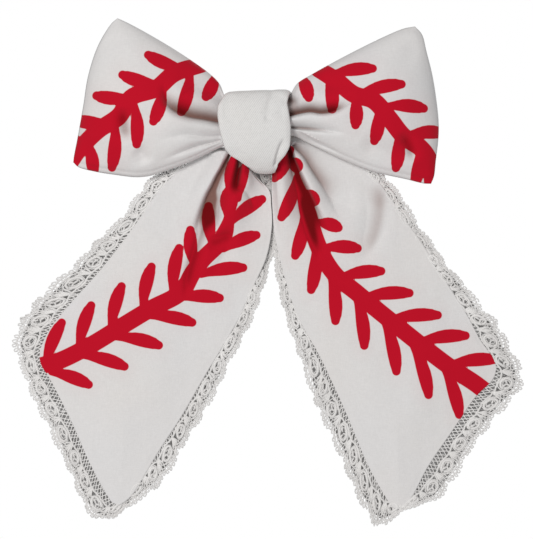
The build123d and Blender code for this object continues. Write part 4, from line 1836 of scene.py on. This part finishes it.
RIGHT_TAIL_FOLDS = {
    Face.FRONT: (
        Fold([(8.4, -6.0), (8.6, -20.0), (10.2, -32.0), (13.5, -48.0)], -5.5, 4.2, 4.4, ends=(0.01, 0.55),
             sharp=2.2),
        Fold([(13.4, -3.0), (15.6, -12.0), (18.2, -18.0), (21.4, -25.0), (24.4, -32.0),
             (28.8, -42.0)], -4.6, 4.8,
             1.6, ends=(0.01, 0.5), sharp=2.2),
        Fold([(11.8, -5.0), (12.6, -8.2), (14.0, -12.6), (16.2, -18.2), (19.5, -25.6), (22.0, -31.4),
             (25.0, -38.4),
              (28.5, -46.0)], 7.0, 0.25, 0.7, ends=(0.01, 0.45), sharp=1.6, spread=8.0),
        Fold([(13.2, -6.0), (18.2, -10.6), (20.6, -14.6), (26.8, -24.0), (30.2, -30.4),
             (34.0, -37.0)], 2.8, 2.4, 0.5,
             ends=(0.01, 0.5), sharp=1.5, spread=2.4),
        Fold([(28.0, -17.0), (33.6, -25.6), (38.0, -36.0)], 1.6, 4.0, 4.0, ends=(0.3, 0.5), sharp=1.8),
        Fold([(17.4, -25.0), (18.6, -29.5), (19.9, -35.0), (21.4, -40.5), (23.0, -45.5),
             (25.2, -53.0)], 4.6, 1.8,
             1.9, ends=(0.2, 0.4), sharp=2.0),
        Fold([(46.5, -18.0), (48.6, -30.0), (47.6, -38.0), (45.0, -45.3), (41.6, -50.6),
             (36.5, -55.0)], 2.6, 3.0,
             5.0, ends=(0.3, 0.4), sharp=1.9),
        Fold([(20.0, -48.0), (29.0, -58.0), (40.0, -66.0)], 1.0, 3.0, 4.0, ends=(0.3, 0.5), sharp=2.0),
        Fold([(36.0, -70.0), (48.0, -92.0), (60.0, -118.0)], 0.8, 8.0, 9.0, ends=(0.4, 0.5), sharp=2.0),
    ),
    Face.BACK: (
        Fold([(8.0, -12.0), (16.0, -28.0), (24.0, -48.0)], 1.0, 3.0, 4.0, ends=(0.02, 0.6)),
        Fold([(18.0, -12.0), (30.0, -30.0), (40.0, -52.0)], 0.8, 3.0, 4.0, ends=(0.02, 0.6)),
    ),
}
# Packed steel parts that are shown as they are.
CLIP_PARTS = ("barrette_base", "barrette_hinge_pin", "barrette_arm", "barrette_spring_bar")


@dataclass(frozen=True)
class BothLoopsPrint:
    """The two loops' drawings as one.

    Attributes:
        left: drawing of the left loop.
        right: drawing of the right loop.
    """

    left: StitchPrint = LEFT_LOOP_PRINT
    right: StitchPrint = RIGHT_LOOP_PRINT

    def outline(self, x: Array, z: Array) -> Array:
        """Signed distance to whichever drawing is nearer."""
        return np.minimum(self.left.outline(x, z), self.right.outline(x, z))


def left_tail() -> Tail:
    """The tail at the viewer's left."""
    return Tail(
        side="left",
        root=((-13.0, -6.5), (-8.5, -8.0), (-4.6, -12.0)),
        outer=((-13.0, -6.5), (-20.0, -7.6), (-28.8, -13.4), (-39.1, -22.7), (-51.5, -40.0), (-62.5, -54.4),
               (-77.2, -71.0), (-84.6, -80.2), (-88.2, -88.0)),
        hem=((-88.2, -88.0), (-88.0, -93.1), (-83.4, -101.2), (-74.8, -118.2), (-68.0, -133.5),
             (-61.3, -145.8), (-58.6, -149.4), (-56.0, -150.4)),
        inner=((-4.6, -12.0), (-3.4, -15.6), (0.8, -20.4), (4.2, -24.2), (4.9, -30.0), (5.2, -37.9),
               (2.9, -51.0), (-4.0, -66.1), (-8.0, -75.3), (-22.1, -99.2), (-31.3, -115.1), (-40.5, -129.2),
               (-46.6, -139.6), (-51.5, -147.0), (-56.0, -150.4)),
        drawing=LEFT_TAIL_PRINT,
        folds=LEFT_TAIL_FOLDS,
        flat=(0.063, 0.135),
        phase=0.4,
    )


def right_tail() -> Tail:
    """The tail at the viewer's right."""
    return Tail(
        side="right",
        root=((6.4, -11.0), (9.0, -6.0), (14.0, -2.5)),
        outer=((14.0, -2.5), (22.0, -4.5), (34.0, -9.5), (45.4, -17.6), (52.8, -26.8), (59.4, -36.5),
               (65.6, -45.2), (74.8, -60.0), (83.8, -74.2), (89.0, -84.0), (93.8, -90.8), (95.6, -95.2)),
        hem=((95.6, -95.2), (94.2, -99.8), (87.3, -106.8), (77.6, -120.8), (67.9, -134.9), (61.6, -146.6),
             (58.2, -150.9), (55.6, -152.0)),
        inner=((6.4, -11.0), (5.6, -15.0), (5.2, -19.9), (5.1, -25.2), (5.4, -31.5), (6.2, -41.2),
               (7.9, -49.4), (10.3, -59.2), (16.2, -76.0), (24.0, -89.9), (34.7, -112.9), (44.2, -135.4),
               (50.5, -146.6), (53.6, -151.2), (55.6, -152.0)),
        drawing=RIGHT_TAIL_PRINT,
        folds=RIGHT_TAIL_FOLDS,
        flat=(0.063, 0.14),
        phase=2.1,
        shade=1.0,
    )


def left_lace() -> LaceTrim:
    """Lace of the left tail."""
    return LaceTrim(
        side="left",
        heading=((-24.8, -14.4), (-35.8, -25.8), (-47.8, -42.8), (-58.8, -57.8), (-73.8, -74.8),
                 (-82.8, -85.4), (-85.4, -92.0), (-80.0, -103.0), (-72.6, -118.6), (-65.8, -133.5),
                 (-59.6, -144.6), (-56.0, -147.4), (-54.0, -142.8), (-44.1, -127.2), (-34.9, -113.1),
                 (-25.7, -97.2), (-11.6, -73.3), (-7.4, -64.1), (-0.8, -49.6), (1.2, -38.0), (0.8, -29.0),
                 (-2.4, -22.0), (-4.6, -15.0)),
        scallops=((-34.5, -9.8), (-48.1, -24.5), (-57.0, -36.0), (-64.9, -43.4), (-73.6, -53.4),
                  (-81.4, -60.6), (-91.5, -71.6), (-97.2, -79.0), (-98.9, -87.0), (-94.2, -99.8),
                  (-88.0, -112.0), (-82.1, -124.3), (-76.4, -135.7), (-71.9, -147.6), (-66.5, -154.6),
                  (-59.4, -155.2), (-50.5, -149.8), (-40.5, -142.7), (-34.5, -135.0), (-28.8, -124.3),
                  (-22.0, -113.9), (-12.0, -93.1), (-7.0, -84.7), (-1.6, -72.6), (3.4, -58.2), (6.0, -48.0),
                  (8.0, -36.0), (8.6, -27.0), (7.0, -19.0), (4.6, -12.6)),
        seed=11,
    )


def right_lace() -> LaceTrim:
    """Lace of the right tail."""
    return LaceTrim(
        side="right",
        heading=((40.9, -19.2), (48.3, -29.4), (54.9, -39.1), (61.1, -47.8), (70.3, -62.6), (78.9, -76.8),
                 (84.4, -87.2), (90.0, -94.4), (90.4, -98.0), (85.3, -105.2), (75.6, -119.2),
                 (65.9, -133.3), (59.6, -144.6), (56.6, -148.8), (54.2, -144.6), (48.0, -133.6),
                 (38.5, -111.1), (27.8, -88.1), (20.0, -74.3), (14.1, -58.0), (11.4, -48.4), (8.2, -40.6),
                 (7.4, -31.0), (7.2, -22.0)),
        scallops=((46.0, -12.5), (57.4, -26.8), (63.4, -36.8), (69.5, -45.1), (76.4, -54.9), (83.0, -62.5),
                  (89.2, -70.6), (96.0, -78.2), (99.8, -86.0), (103.6, -92.7), (105.4, -99.0),
                  (104.6, -104.4), (99.6, -110.7), (94.4, -116.6), (85.6, -127.2), (80.6, -136.4),
                  (71.9, -147.1), (62.6, -150.6), (55.0, -154.4), (48.6, -158.4), (43.0, -153.4),
                  (36.3, -139.0), (25.2, -115.2), (21.7, -105.4), (18.1, -95.2), (11.0, -74.8),
                  (6.9, -58.0), (5.2, -46.0), (3.6, -34.0), (2.6, -22.0)),
        seed=23,
    )


def sew_threads(loops: PuffedLoops, tails: Sequence[Tail], finish: bpy.types.Material) -> None:
    """Sew the hidden seams and every visible stitch.

    Args:
        loops: the built loops.
        tails: both tails.
        finish: the thread's material.
    """
    sewing = SewingThread(finish)
    sewing.sew("loops_seam_run", "loops_seam_thread", loops.seam(), 0.12)
    for tail in tails:
        sewing.sew(f"tail_{tail.side}_seam_run", f"tail_{tail.side}_seam_thread", tail.seam(), 0.1)
    for side, row in (("left", ((-23.4, -6.9), (-14.6, -4.6))), ("right", ((17.6, -1.2), (24.6, -4.6)))):
        path = np.array([loops.on_front(*place) for place in even_path(np.array(row), 30)])
        stitches = sewing.stitches(path, 0.1, (0.0, -1.0, 0.0))
        sewing.sew(f"topstitch_{side}_run", f"topstitch_{side}", stitches)
    closing = "knot_closing_stitches"
    sewing.sew("knot_closing_run", closing, sewing.slanted(closing, (0.0, 1.0, 0.0), 0.9), 0.2)
    anchor = "barrette_anchor_stitches"
    sewing.sew("barrette_anchor_run", anchor, sewing.wraps(anchor), 0.2)
    dress_packed(finish, "cinch_thread")


def main() -> None:
    """Build the bow piece by piece."""
    logging.basicConfig(level=logging.INFO, format="%(name)s: %(message)s")
    Studio().build()
    printed = ClothFinish("printed_cloth", printed=True).make()
    band = ClothFinish("band_cloth", white=(0.81, 0.803, 0.79), twill=0.0007, bump=0.6).make()
    # The lace's ground colour is painted shade for its holes and for the lace under the knot.
    lace = ThreadFinish("lace_thread", ground=(0.075, 0.071, 0.069)).make()
    thread = ThreadFinish("sewing_thread").make()
    steel = SteelFinish("clip_steel").make()
    loops = PuffedLoops(drawing=BothLoopsPrint(), folds={Face.FRONT: LOOP_FOLDS, Face.BACK: LOOP_BACK_FOLDS})
    loops.build(printed)
    tails = (left_tail(), right_tail())
    for tail, trim in zip(tails, (left_lace(), right_lace())):
        front, back = tail.build(printed)
        strip = trim.build(lace)
    KnotBand().build(band)
    sew_threads(loops, tails, thread)
    dress_packed(steel, *CLIP_PARTS)


if __name__ == "__main__":
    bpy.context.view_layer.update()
    main()
